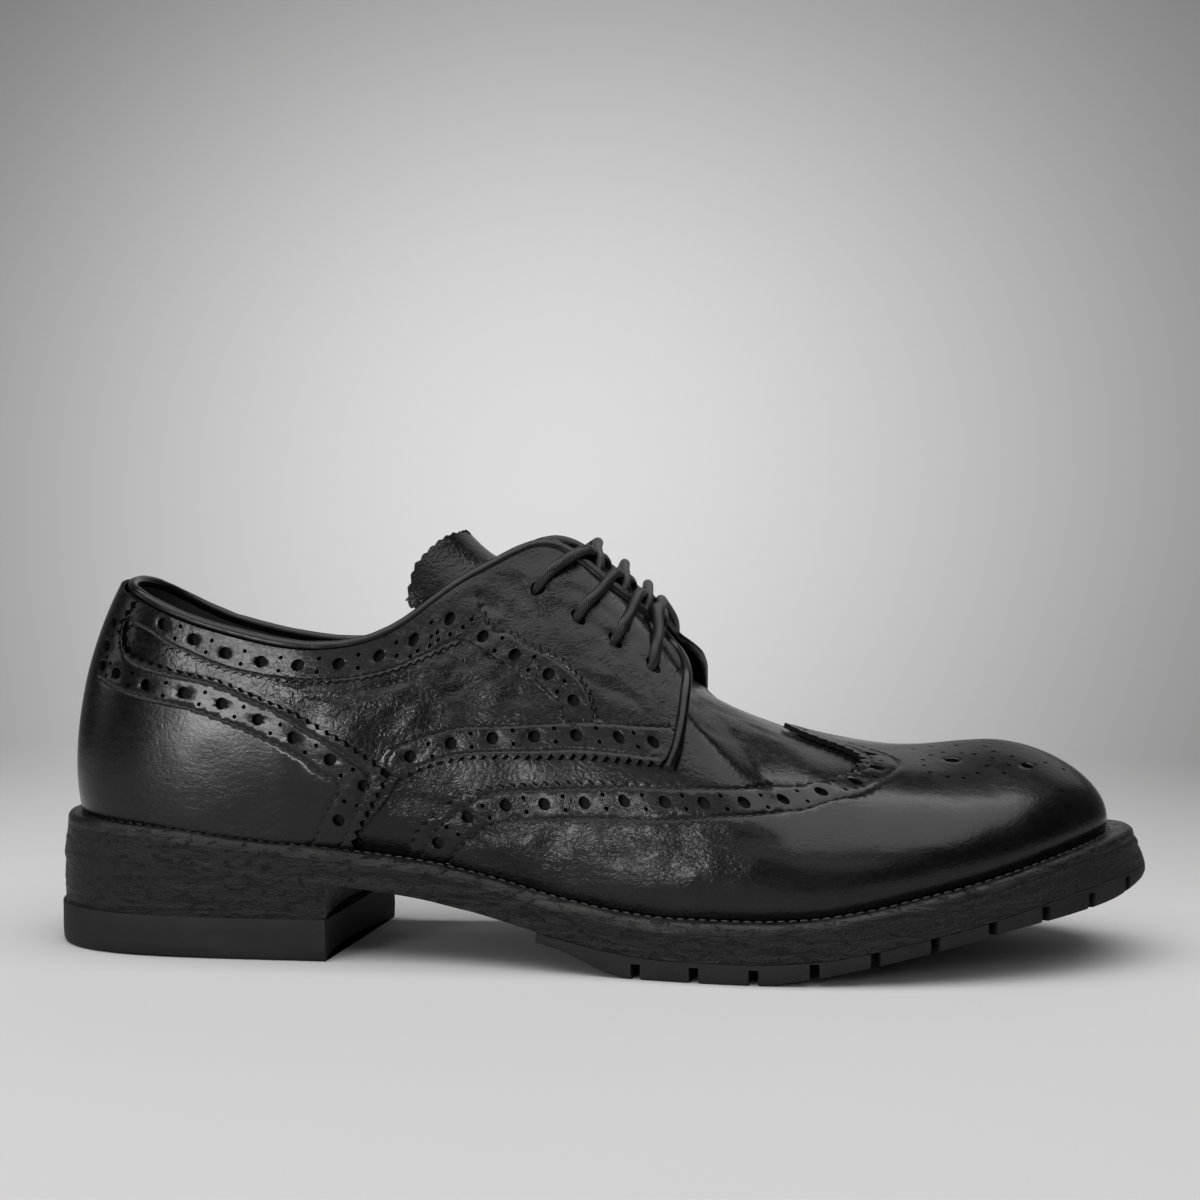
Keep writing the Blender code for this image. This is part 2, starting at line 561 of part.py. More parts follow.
def overlay(name, sides, polygon, low, high, spacing, mat, holes=(), lift=None, extra=()):
    """A piece of leather between two heights off the last, over one side or sewn across both."""
    shares, faces = patch_mesh(polygon, spacing, holes, extra)
    count = len(shares)
    shared = (shares[:, 0] < SEAM) | (shares[:, 0] > 1 - SEAM) | (
        (shares[:, 1] > 1 - SEAM) & (shares[:, 0] >= THROAT_END - SEAM))
    both = len(sides) == 2
    if both:
        faces = [f for f in faces if not all(shared[i] for i in f)]
    directed = {(a, b) for f in faces for a, b in zip(f, f[1:] + f[:1])}
    rim = [(a, b) for a, b in directed if (b, a) not in directed and not (both and shared[a] and shared[b])]
    points, built = [], []
    for side in sides:
        u, w = side * shares[:, 0], shares[:, 1]
        extra = lift(u, w) if lift else 0 * u
        base = len(points)
        points += list(leather(u, w, low + extra)) + list(leather(u, w, high + extra))
        for f in faces:
            built.append(tuple(base + i for i in f))
            built.append(tuple(base + count + i for i in f[::-1]))
        built += [(base + a, base + count + a, base + count + b, base + b) for a, b in sorted(rim)]
    points = np.array(points)
    if both:
        for layer in (0, count):
            for i in np.where(shared)[0]:
                middle = 0.5 * (points[layer + i] + points[2 * count + layer + i])
                points[layer + i] = points[2 * count + layer + i] = middle
    return add(name, points, built, mat)


def circle_hole(centre, diameter, count=8):
    """A round hole's outline in shares, sized where the station lines and profiles are as long as named here."""
    t, w = centre
    step = 1e-3
    du = np.linalg.norm(last(-t - step, w) - last(-t + step, w)) / (2 * step)
    dw = np.linalg.norm(last(-t, w + step) - last(-t, w - step)) / (2 * step)
    return [(t + diameter / 2 / du * math.cos(2 * math.pi * k / count),
             w + diameter / 2 / dw * math.sin(2 * math.pi * k / count)) for k in range(count)]


def build_overlays():
    wing = [(.396, 0), (1, 0), (1, 1)] + WING_EDGE[:-1]
    overlay("wing_cap", (-1, 1), wing, -LEATHER, 0.0, .0115, LEATHER_BLACK, extra=[(.985, .955)])
    holes = [circle_hole(c, EYELET) for c in EYELETS]
    quarter = [(.25, 0), (.25, .66), (.10, .76), (.085, .86), (.09, 1)] + [(t, 1) for t in np.linspace(.42, .58, 9)] + QUARTER_EDGE
    for name, side in (("quarter_lateral", -1), ("quarter_medial", 1)):
        overlay(name, (side,), quarter, -LEATHER, 0.0, .0090, LEATHER_BLACK, holes, flap_lift)
    counter = [(0, 0), (0, 1)] + COUNTER_EDGE
    overlay("counter", (-1, 1), counter, LAYER_GAP + GAP, LAYER_GAP + GAP + LEATHER, .0095,
            LEATHER_BLACK)


def tube(name, path, radius, mat, sides=8):
    """Round cord along a path, capped at both ends."""
    path = np.asarray(path)
    tangent = np.gradient(path, axis=0)
    tangent /= np.linalg.norm(tangent, axis=1, keepdims=True)
    normal = np.cross(tangent[0], [.3, .2, 1.0])
    rings, faces = [], []
    for p, d in zip(path, tangent):
        normal = normal - d * np.dot(normal, d)
        normal /= np.linalg.norm(normal)
        other = np.cross(d, normal)
        angle = np.arange(sides) / sides * 2 * math.pi
        rings.append(p + radius * (np.cos(angle)[:, None] * normal + np.sin(angle)[:, None] * other))
    count = len(path)
    for i in range(count - 1):
        a, b = i * sides, (i + 1) * sides
        faces += [(a + k, a + (k + 1) % sides, b + (k + 1) % sides, b + k) for k in range(sides)]
    faces += [tuple(range(sides)), tuple(range((count - 1) * sides, count * sides))[::-1]]
    return add(name, np.concatenate(rings), faces, mat)


def edge_path():
    """Middle line of the rolled edge: up the outer facing's front, round the collar and down the inner one."""
    front = [(t, w) for t, w in QUARTER_EDGE if t > .55][::-1]
    rows = run_of_points(front, .006)
    top = [(t, 1.0) for t in np.concatenate([np.linspace(.585, .40, 14), np.linspace(.385, .02, 14)])]
    half = rows + top
    path = []
    for side in (-1, 1):
        line = []
        for i, (t, w) in enumerate(half):
            step = 1e-3
            u = side * t
            up = last(u, min(w, .999)) - last(u, min(w, .999) - step)
            forward = last(side * (t + step), w) - last(side * t, w)
            up, forward = up / np.linalg.norm(up), forward / np.linalg.norm(forward)
            away = up + forward if i == len(rows) - 1 else up if w >= 1 else forward
            height = float(flap_lift(u, w)) - (LEATHER + WALL) / 2 * (1 - ease((t - .45) / .1))
            line.append(leather(u, w, height) + away * (BINDING / 2 + LAYER_GAP))
        path.append(line)
    return np.array(path[0] + path[1][::-1])


def build_tongue():
    rows = np.asarray(TONGUE_LINE) * np.array([LENGTH, INSTEP_HEIGHT])
    length = np.concatenate([[0], np.cumsum(np.linalg.norm(np.diff(rows, axis=0), axis=1))])
    at = np.linspace(0, length[-1], 11)
    centre = np.stack([smooth(at, length, rows[:, 0]), smooth(at, length, rows[:, 1])], -1)
    tangent = np.gradient(centre, axis=0)
    tangent /= np.linalg.norm(tangent, axis=1, keepdims=True)
    across = np.radians(np.linspace(-TONGUE_SWEEP, TONGUE_SWEEP, 11))
    layers = []
    for wall in (0, TONGUE_WALL):
        grid = []
        for k, ((x, z), (tx, tz)) in enumerate(zip(centre, tangent)):
            share = k / (len(at) - 1)
            normal = np.array([tz, -tx])
            phi = across * (.42 + .58 * ease(share / .75))
            full = TONGUE_RADIUS * (1 + TONGUE_SPREAD * ease((share - .86) / .14))
            radius = full - wall
            drop = full - radius * np.cos(phi)
            grid.append(np.stack([x - normal[0] * drop, radius * np.sin(phi), z - normal[1] * drop], -1))
        layers.append(np.array(grid))
    m, n = layers[0].shape[:2]
    points = np.concatenate([layers[0].reshape(-1, 3), layers[1].reshape(-1, 3)])
    faces = []
    for base in (0, m * n):
        faces += [(base + i * n + j, base + i * n + j + 1, base + (i + 1) * n + j + 1, base + (i + 1) * n + j)
                  for i in range(m - 1) for j in range(n - 1)]
    border = ([(0, j) for j in range(n)] + [(i, n - 1) for i in range(1, m)]
              + [(m - 1, j) for j in range(n - 2, -1, -1)] + [(i, 0) for i in range(m - 2, 0, -1)])
    ids = [i * n + j for i, j in border]
    faces += [(a, b, b + m * n, a + m * n) for a, b in zip(ids, ids[1:] + ids[:1])]
    return add("tongue", points, faces, LINING)


def lace_path(row, side):
    """A strand from an eyelet, slanting over its facing's edge and the throat, to fall behind the other edge."""
    t, w = EYELETS[row]
    radius = LACE / 2
    cross, dive = t + LACE_REACH[row], t + 1.35 * LACE_REACH[row]
    def on_flap(station, height, clear):
        u = side * station
        return leather(u, height, float(flap_lift(u, height)) + radius + clear)
    start = on_flap(t, w, GAP)
    half = on_flap(t + .55 * (cross - t), w + .55 * (1 - w), 2 * GAP)
    rim = on_flap(cross, 1.0, GAP) + np.array([0, 0, BINDING - LACE / 4 + 6 * GAP])
    u = -side * dive
    far = leather(u, 1.0, float(flap_lift(u, 1.0)))
    far = far + np.array([0, side * (radius + BINDING / 2 + 3 * GAP), 0])
    middle = 0.5 * (rim + far) + np.array([0, 0, LACE / 2])
    key = np.array([start, half, rim, middle, far])
    length = np.concatenate([[0], np.cumsum(np.linalg.norm(np.diff(key, axis=0), axis=1))])
    at = np.linspace(0, length[-1], 9)
    return np.stack([smooth(at, length, key[:, k]) for k in range(3)], -1)


def build_laces():
    for row in range(len(EYELETS)):
        first = tube("lace_row_%d" % (row + 1), lace_path(row, -1), LACE / 2, CORD, sides=6)
        second = tube("lace_strand_%d" % (row + 1), lace_path(row, 1), LACE / 2, CORD, sides=6)
        second.hide_render = True
        second.display_type = "WIRE"
        join = first.modifiers.new("crossing", "BOOLEAN")
        join.operation = "UNION"
        join.solver = "EXACT"
        join.object = second


def main():
    for obj in list(bpy.data.objects):
        bpy.data.objects.remove(obj)
    build_sole()
    build_heel()
    build_tread()
    build_upper()
    build_overlays()
    tube("collar_binding", edge_path(), BINDING / 2, LEATHER_BLACK, sides=6)
    build_tongue()
    build_laces()


main()
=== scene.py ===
# %% [markdown]
# # A brogue shoe, dressed for the camera
# This lesson starts from a plain model of a shoe whose pieces already have the right size and place. Each
# step swaps one of those plain pieces for a finished one: leather with pinked edges and punched holes,
# stitches, a rolled collar edge, laces, and a rough painted sole edge. Everything is measured in metres,
# with X to the toe, Y to the inner side and Z up.

# %% Load the plain model
import functools
import math

import bmesh
import bpy
import numpy as np
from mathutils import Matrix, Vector, kdtree, noise
from mathutils.geometry import delaunay_2d_cdt


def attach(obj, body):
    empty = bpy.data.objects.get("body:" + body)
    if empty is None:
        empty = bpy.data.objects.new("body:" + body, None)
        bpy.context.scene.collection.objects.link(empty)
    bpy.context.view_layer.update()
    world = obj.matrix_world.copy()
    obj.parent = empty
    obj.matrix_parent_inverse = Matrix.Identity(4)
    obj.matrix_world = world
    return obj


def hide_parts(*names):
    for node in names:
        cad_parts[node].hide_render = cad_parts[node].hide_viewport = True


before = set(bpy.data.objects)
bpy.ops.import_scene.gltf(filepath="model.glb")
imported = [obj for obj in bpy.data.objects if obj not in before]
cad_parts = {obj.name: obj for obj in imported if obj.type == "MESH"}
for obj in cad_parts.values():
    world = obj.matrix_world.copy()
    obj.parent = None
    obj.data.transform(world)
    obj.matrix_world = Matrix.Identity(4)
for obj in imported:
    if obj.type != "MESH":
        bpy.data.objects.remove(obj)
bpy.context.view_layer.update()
print("plain pieces:", ", ".join(sorted(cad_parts)))

# %% [markdown]
# ## The camera
# The photograph looks at the outer side of the shoe from a little ahead of its middle and from just above
# the collar, with a long lens. Setting the camera first lets every later step be judged in the real view.

# %% Camera
AIM_TURN, VIEW_TURN, VIEW_DROP = math.radians(6.62), math.radians(6.56), math.radians(3.74)
VIEW_DISTANCE = 0.750
camera_data = bpy.data.cameras.new("camera")
camera_data.lens = 79.92
camera_data.sensor_width = 36
camera = bpy.data.objects.new("camera", camera_data)
bpy.context.scene.collection.objects.link(camera)
camera.location = (0.115 + VIEW_DISTANCE * math.sin(AIM_TURN), -VIEW_DISTANCE * math.cos(AIM_TURN), 0.1468)
view_line = Vector((-math.sin(VIEW_TURN) * math.cos(VIEW_DROP), math.cos(VIEW_TURN) * math.cos(VIEW_DROP),
                    -math.sin(VIEW_DROP)))
camera.rotation_euler = view_line.to_track_quat("-Z", "Y").to_euler()
bpy.context.scene.camera = camera
print("camera at", [round(c, 3) for c in camera.location])

# %% [markdown]
# ## The sizes
# A shoe is built on a last, a foot-shaped block. The same named sizes that made the plain model are
# repeated here, so that the finished leather lies exactly where the plain leather lay.

# %% Named sizes
# Driving sizes of the last
LENGTH = 0.306            # outline of the welt, heel back to toe tip
BALL_WIDTH = 0.109        # outline of the welt across the ball
INSTEP_HEIGHT = 0.0926    # top of the facings above the welt
COLLAR_WIDTH = 0.057      # widest part of the collar
HEEL_RISE = 0.021         # welt at the heel back above the welt at the ball
TOE_SPRING = 0.021        # welt at the toe tip above the welt at the ball
REST_BACK = 0.038         # heel back to the origin

# Sole stack
WELT = 0.003
MIDSOLE = 0.007
TREAD = 0.006
WAIST_THINNING = 0.0008   # how much thinner the midsole is at the heel breast
HEEL_LENGTH = 0.082
HEEL_SKEW = 0.006         # inner corner of the breast lies this much further forward
BREAST_HOLLOW = 0.004
TOP_PIECE = 0.0115        # rubber piece under the heel
STACK_PROUD = 0.0008
TOP_PIECE_PROUD = 0.0016
TREAD_START = 0.462       # share of the length where the half sole begins
NOTCH_START = 0.552       # share of the length where the first groove lies
NOTCH_PITCH = 0.0160
NOTCH_WIDTH = 0.0026
NOTCH_DEPTH = 0.009
NOTCH_HEIGHT = 0.0042
FLARE = 0.003             # how far the sole edge leans in from the tread to the welt at the toe
EDGE_ROUND = 0.0016
SEAT = 0.004              # how far the welt reaches in under the insole

# Leathers
WALL = 0.0018             # vamp with its lining
LEATHER = 0.0012          # overlays
GAP = 0.0003              # air between faceted neighbours
FLAP_LIFT = 0.0058        # how far the facings' front corner springs off the vamp
BINDING = 0.003           # diameter of the rolled edge
TONGUE_WALL = 0.002
TONGUE_RADIUS = 0.0174
TONGUE_SWEEP = 76.0       # degrees each side of the middle line
NORMAL_TOP = .985         # above this height share a normal is read just below it
SEAM = 1e-5               # shares this close to the middle line are on it
EYELET = 0.0044
print("outline", LENGTH * 1000, "mm long")

# %% [markdown]
# ## Tables for the last
# Curved forms are easiest to steer with short tables. Each row is a place along the shoe, and the other
# columns are shares of a named size, so that the shoe keeps its character when a size changes.

# %% Tables of the outline, sole line, collar and profiles
# Sole line: x / LENGTH, share of HEEL_RISE, share of TOE_SPRING
SOLE_LINE = [(0, 1, 0), (.08, .962, 0), (.14, .88, 0), (.20, .785, 0), (.28, .69, 0), (.36, .565, 0),
             (.42, .40, 0), (.48, .19, 0), (.54, .045, 0), (.58, 0, 0), (.65, 0, 0), (.70, 0, .035),
             (.75, 0, .14), (.80, 0, .30), (.85, 0, .465), (.90, 0, .66), (.95, 0, .84), (1.0, 0, .97)]
# Underside of the tread: x / LENGTH, height / (WELT + MIDSOLE + TREAD)
TREAD_LINE = [(.44, .80), (.462, .58), (.50, .27), (.53, .05), (.55, 0), (.66, 0), (.70, .10), (.755, .31),
              (.80, .50), (.845, .70), (.88, .86), (.93, 1.03), (.97, 1.18), (1.0, 1.42)]
# Outline: station t, outer half breadth and inner half breadth / BALL_WIDTH.  x runs as a cosine of t.
OUTLINE = [(0, 0, 0), (.1, .188, .184), (.2, .287, .283), (.3, .310, .303), (.4, .330, .292),
           (.5, .417, .353),
           (.6, .495, .477), (.7, .454, .505), (.8, .326, .408), (.9, .142, .243), (1.0, -.046, .046)]
# Welt showing outside the upper: station t, share of BALL_WIDTH
WELT_MARGIN = [(0, .055), (.2, .047), (.4, .046), (.6, .064), (.8, .073), (1.0, .101)]
# Collar, facings and throat: t, x / LENGTH, outer and inner half breadth / COLLAR_WIDTH,
# outer and inner height above the welt / INSTEP_HEIGHT
COLLAR = [(0, .0595, 0, 0, .706, .706), (.07, .0665, .218, .210, .693, .693),
          (.14, .092, .368, .351, .660, .646),
          (.21, .137, .438, .421, .618, .590), (.28, .196, .482, .465, .590, .560),
          (.34, .261, .499, .482, .585, .556),
          (.39, .327, .460, .443, .662, .630), (.43, .376, .391, .382, .802, .790),
          (.47, .425, .289, .289, .928, .928),
          (.505, .467, .219, .228, .995, .995), (.54, .507, .211, .219, .907, .915),
          (.575, .539, .219, .219, .798, .802),
          (.605, .563, .193, .193, .697, .700), (.63, .582, 0, 0, .650, .650)]
THROAT_END = .63
# Ridge of the vamp: x / LENGTH, height / INSTEP_HEIGHT, y / BALL_WIDTH
RIDGE = [(.556, .864, .005), (.582, .823, .005), (.611, .771, .009), (.641, .726, .013), (.670, .686, .017),
         (.699, .655, .020), (.732, .632, .024), (.765, .620, .028), (.804, .624, .030), (.843, .637, .033),
         (.869, .639, .035), (.895, .628, .037), (.928, .589, .037)]
# Where each station meets the ridge: t, x / LENGTH
RIDGE_STATION = [(.63, .582), (.70, .663), (.77, .732), (.84, .784), (.92, .827), (1.0, .850)]
# Profile handles / INSTEP_HEIGHT: t, low out, low up, high out, high up (outer side, then inner side)
PROFILE_OUTER = [(0, .037, .14, .15, -.265), (.1, .045, .151, .108, -.259), (.2, .049, .173, .065, -.238),
                 (.3, .059, .194, .054, -.194), (.4, .065, .216, .086, -.216), (.5, .065, .259, .173, -.281),
                 (.6, .076, .259, .238, -.108), (.7, .065, .238, .324, -.108), (.8, .054, .205, .292, -.086),
                 (.9, .043, .162, .227, -.065), (1.0, .038, .130, .194, -.054)]
PROFILE_INNER = [(0, .037, .14, .15, -.265), (.1, .045, .151, .108, -.259), (.2, .049, .173, .065, -.238),
                 (.3, .059, .194, .054, -.194), (.4, .086, .216, .086, -.216), (.5, .086, .281, .173, -.281),
                 (.6, .065, .302, .238, -.108), (.7, .043, .281, .324, -.108), (.8, .043, .216, .302, -.086),
                 (.9, .043, .162, .238, -.065), (1.0, .038, .130, .194, -.054)]
print(len(OUTLINE), "outline stations")

# %% [markdown]
# ## Where the leathers end
# A pattern cutter draws the edges of each leather on the last. Here an edge is a list of two shares: how
# far round the shoe from the heel, and how high from the welt towards the collar or the ridge.

# %% Edge lines
# Edges of the overlays as station t and height share w, read along the seam
WING_EDGE = [(.690, 1), (.700, .90), (.710, .81), (.722, .71), (.700, .628), (.668, .54), (.614, .475),
             (.558, .415),
             (.507, .365), (.462, .338), (.444, .32), (.426, .28), (.408, .18), (.400, .12), (.396, 0)]
COUNTER_EDGE = [(.125, 1), (.113, .90), (.120, .838), (.145, .797), (.200, .792), (.253, .787), (.296, .738),
                (.329, .672), (.347, .583), (.364, .487), (.381, .357), (.374, .245), (.366, .12), (.360, 0)]
# Middle line of the tongue's face: x / LENGTH, height / INSTEP_HEIGHT, from under the vamp to its tip
TONGUE_LINE = [(.590, .735), (.570, .790), (.542, .880), (.510, .975), (.478, 1.055), (.445, 1.115),
               (.412, 1.175),
               (.376, 1.275)]
print("wing edge has", len(WING_EDGE), "points")

# %% [markdown]
# ## Smooth curves through tables
# A natural cubic spline passes through every point of a table with no kink. Where overshoot would show, as
# on the flat of the sole, a monotone curve is used instead.

# %% Splines
def monotone(x, table, column=1):
    """Curve through a table's points that never overshoots them."""
    rows = np.asarray(table, float)
    xs, ys = rows[:, 0], rows[:, column]
    h = np.diff(xs)
    slope = np.diff(ys) / h
    tangent = np.zeros(len(xs))
    tangent[0], tangent[-1] = slope[0], slope[-1]
    for i in range(1, len(xs) - 1):
        if slope[i - 1] * slope[i] > 0:
            a, b = 2 * h[i] + h[i - 1], h[i] + 2 * h[i - 1]
            tangent[i] = (a + b) / (a / slope[i - 1] + b / slope[i])
    x = np.asarray(x, float)
    i = np.clip(np.searchsorted(xs, x) - 1, 0, len(h) - 1)
    s = np.clip((x - xs[i]) / h[i], 0, 1)
    return (ys[i] * (1 + 2 * s) * (1 - s) ** 2 + tangent[i] * h[i] * s * (1 - s) ** 2
            + ys[i + 1] * s * s * (3 - 2 * s) + tangent[i + 1] * h[i] * s * s * (s - 1))


@functools.lru_cache(maxsize=None)
def bending(xs, ys):
    """Second derivatives of the natural cubic spline through these points."""
    xs, ys = np.asarray(xs, float), np.asarray(ys, float)
    n, h = len(xs), np.diff(xs)
    a, b = np.eye(n), np.zeros(n)
    for i in range(1, n - 1):
        a[i, i - 1:i + 2] = h[i - 1], 2 * (h[i - 1] + h[i]), h[i]
        b[i] = 6 * ((ys[i + 1] - ys[i]) / h[i] - (ys[i] - ys[i - 1]) / h[i - 1])
    return np.linalg.solve(a, b)


def smooth(x, xs, ys):
    """Natural cubic spline."""
    xs, ys = np.asarray(xs, float), np.asarray(ys, float)
    h = np.diff(xs)
    m = bending(tuple(xs), tuple(ys))
    x = np.asarray(x, float)
    i = np.clip(np.searchsorted(xs, x) - 1, 0, len(xs) - 2)
    p, q = (xs[i + 1] - x) / h[i], (x - xs[i]) / h[i]
    return p * ys[i] + q * ys[i + 1] + ((p ** 3 - p) * m[i] + (q ** 3 - q) * m[i + 1]) * h[i] ** 2 / 6


def around(u, table, outer, inner, sign=1.0):
    """Spline over the outline; u runs from the toe (-1) by the outer side and heel (0) to the toe (1)."""
    rows = np.asarray(table, float)
    stations = np.concatenate([-rows[:0:-1, 0], rows[:, 0]])
    values = np.concatenate([sign * rows[:0:-1, outer], rows[:, inner]])
    wrap = 4
    stations = np.concatenate([stations[-wrap - 1:-1] - 2, stations, stations[1:wrap + 1] + 2])
    values = np.concatenate([values[-wrap - 1:-1], values, values[1:wrap + 1]])
    return smooth(u, stations, values)


print("spline check:", float(monotone(.5, SOLE_LINE)))

# %% [markdown]
# ## The sole line and the outline
# The welt's top, the midsole's underside and the tread's underside are heights that depend on the distance
# from the heel. The outline in plan comes from stations that crowd together at the heel and toe.

# %% Sole functions
def welt_top(x):
    """Height of the welt's top face; x from the heel back."""
    q = np.clip(np.asarray(x, float) / LENGTH, 0, 1)
    return (WELT + MIDSOLE + TREAD + HEEL_RISE * monotone(q, SOLE_LINE)
            + TOE_SPRING * monotone(q, SOLE_LINE, 2))


def midsole_bottom(x):
    q = np.clip(np.asarray(x, float) / LENGTH, 0, 1)
    breast = HEEL_LENGTH / LENGTH
    thinning = WAIST_THINNING * np.exp(-((q - breast) / .09) ** 2)
    return welt_top(x) - WELT - GAP - MIDSOLE + thinning


def tread_bottom(x):
    q = np.clip(np.asarray(x, float) / LENGTH, 0, 1)
    return np.maximum((WELT + MIDSOLE + TREAD) * monotone(q, TREAD_LINE), 0)


def outline(u, inset=0.0):
    """Points of the sole outline moved inwards by inset."""
    def base(v):
        return np.stack([LENGTH * (1 - np.cos(math.pi * v)) / 2,
                         BALL_WIDTH * around(v, OUTLINE, 1, 2, -1.0)], -1)
    u = np.asarray(u, float)
    step = 1e-3
    along = base(u + step) - base(u - step)
    along /= np.linalg.norm(along, axis=-1, keepdims=True)
    inward = np.stack([along[..., 1], -along[..., 0]], -1)
    return base(u) + inward * np.broadcast_to(inset, u.shape)[..., None]


def feather(u):
    return outline(u, BALL_WIDTH * around(u, WELT_MARGIN, 1, 1))


print("welt top at the toe", round(float(welt_top(LENGTH)) * 1000, 1), "mm")

# %% [markdown]
# ## The last's surface
# Each side of the last is a sheet of curves that rise from the welt to the collar, throat or ridge. Two
# shares find any point on it, and a third number is the height off it, so every leather is cut from one
# surface.

# %% Last functions
def ridge_height(x):
    rows = np.asarray(RIDGE)
    return INSTEP_HEIGHT * smooth(x / LENGTH, rows[:, 0], rows[:, 1])


def top_line(u):
    """Collar and throat edge, then the ridge that the two sides share."""
    a = np.abs(u)
    open_u = np.clip(u, -THROAT_END, THROAT_END)
    rows = np.asarray(COLLAR)
    stations = np.concatenate([-rows[:0:-1, 0], rows[:, 0]])
    def both(outer, inner, sign=1.0):
        return smooth(open_u, stations, np.concatenate([sign * rows[:0:-1, outer], rows[:, inner]]))
    rs = np.asarray(RIDGE_STATION)
    ridge_x = LENGTH * smooth(np.clip(a, THROAT_END, 1.2), np.concatenate([rs[:, 0], 2 - rs[-2::-1, 0]]),
                              np.concatenate([rs[:, 1], rs[-2::-1, 1]]))
    front = a >= THROAT_END
    x = np.where(front, ridge_x, LENGTH * both(1, 1))
    rr = np.asarray(RIDGE)
    ridge_y = BALL_WIDTH * smooth(ridge_x / LENGTH, rr[:, 0], rr[:, 2])
    y = np.where(front, ridge_y, COLLAR_WIDTH * both(2, 3, -1.0))
    z = np.where(front, ridge_height(ridge_x), welt_top(x) + INSTEP_HEIGHT * both(4, 5))
    return np.stack([x, y, z], -1), front


def last(u, w):
    """The last's surface: w 0 is the feather line at the welt, w 1 the collar or the ridge."""
    u, w = np.broadcast_arrays(np.asarray(u, float), np.asarray(w, float))
    foot2 = feather(u)
    foot = np.concatenate([foot2, (welt_top(foot2[..., 0]) + GAP)[..., None]], -1)
    top, front = top_line(u)
    def handle(k):
        rows = [(a[0], a[k], b[k]) for a, b in zip(PROFILE_OUTER, PROFILE_INNER)]
        return INSTEP_HEIGHT * around(u, rows, 1, 2)
    low_out, low_up, high_out, high_up = (handle(k) for k in (1, 2, 3, 4))
    out = foot[..., :2] - top[..., :2]
    out /= np.maximum(np.linalg.norm(out, axis=-1, keepdims=True), 1e-9)
    p1, p2 = foot.copy(), top.copy()
    p1[..., :2] += out * low_out[..., None]
    p1[..., 2] += low_up
    p2[..., :2] += out * high_out[..., None]
    step = 0.0005
    fall = (ridge_height(top[..., 0] + step) - ridge_height(top[..., 0] - step)) / (2 * step)
    p2[..., 2] += np.where(front, fall * out[..., 0] * high_out, high_up)
    q = w[..., None]
    return foot * (1 - q) ** 3 + 3 * p1 * q * (1 - q) ** 2 + 3 * p2 * q * q * (1 - q) + top * q ** 3


def normals(u, w):
    """Outward normals of the last."""
    u, w = np.broadcast_arrays(np.asarray(u, float), np.minimum(w, NORMAL_TOP))
    step = 2e-3
    a = np.abs(u)
    side = np.where(u < 0, -1.0, 1.0)
    lo_u = np.where((a >= THROAT_END) | (a < THROAT_END - step), u - step, u - step * (1 + side))
    hi_u = np.where((a >= THROAT_END) | (a < THROAT_END - step), u + step, u + step * (1 - side))
    du = last(hi_u, w) - last(lo_u, w)
    dw = last(u, np.minimum(w + step, 1)) - last(u, np.maximum(w - step, 0))
    n = np.cross(dw, du)
    return n / np.maximum(np.linalg.norm(n, axis=-1, keepdims=True), 1e-12)


def leather(u, w, height):
    """Points at a height off the last; the bottom row stays level above the welt."""
    u, w = np.broadcast_arrays(np.asarray(u, float), np.asarray(w, float))
    p = last(u, w) + normals(u, w) * np.broadcast_to(height, u.shape)[..., None]
    p[..., 2] = np.where(w <= 0, welt_top(p[..., 0]) + GAP, p[..., 2])
    return p


def ease(x):
    x = np.clip(x, 0, 1)
    return x * x * (3 - 2 * x)


def flap_lift(u, w):
    """The facings spring up towards their front corner."""
    return FLAP_LIFT * ease((np.abs(u) - .50) / .105) * ease((w - .50) / .50)


print("collar at the back", last(0.0, 1.0).round(4))

# %% [markdown]
# ## Unrolling the leather
# A flat pattern is needed to draw teeth and holes at an even size. Girth along the middle of the side gives
# one flat coordinate and the height share gives the other.

# %% Unrolling
def station_at(x):
    """Station t whose outline point lies at x."""
    return math.acos(1 - 2 * x / LENGTH) / math.pi


def girth_table():
    """Stations and how far they lie from the heel back along the middle of the last's side."""
    t = np.linspace(0, 1, 81)
    side = last(-t, .5)
    return t, np.concatenate([[0], np.cumsum(np.linalg.norm(np.diff(side, axis=0), axis=1))])


def unroll(shares):
    """Shares laid out flat in metres, so that a mesh over them is even on the last."""
    t, run = girth_table()
    shares = np.asarray(shares, float)
    return np.stack([np.interp(shares[..., 0], t, run), shares[..., 1] * INSTEP_HEIGHT], -1)


def roll_up(plane):
    t, run = girth_table()
    return np.stack([np.interp(plane[..., 0], run, t), plane[..., 1] / INSTEP_HEIGHT], -1)


print("girth of a side", round(float(girth_table()[1][-1]) * 1000), "mm")

# %% [markdown]
# ## Material helper
# A material is a graph of nodes. Wrapping each socket in a small class lets the maths be written as
# ordinary sums, and one method makes every other kind of node.

# %% Wire and Finish
class Wire:
    """A socket that can be used in sums."""

    def __init__(self, finish, socket):
        self.finish, self.socket = finish, socket

    def math(self, operation, *values):
        made = self.finish.node("ShaderNodeMath", {"operation": operation}, dict(enumerate(values)))
        return Wire(self.finish, made.outputs[0])

    def __add__(self, other):
        return self.math("ADD", self, other)

    def __sub__(self, other):
        return self.math("SUBTRACT", self, other)

    def __mul__(self, other):
        return self.math("MULTIPLY", self, other)

    def __rsub__(self, other):
        return self.math("SUBTRACT", other, self)

    __radd__ = __add__
    __rmul__ = __mul__

    def clamp(self, low=0.0, high=1.0):
        return self.math("MINIMUM", self.math("MAXIMUM", self, low), high)

    def between(self, low, high):
        """0 below low, 1 above high."""
        return ((self - low) * (1.0 / (high - low))).clamp()


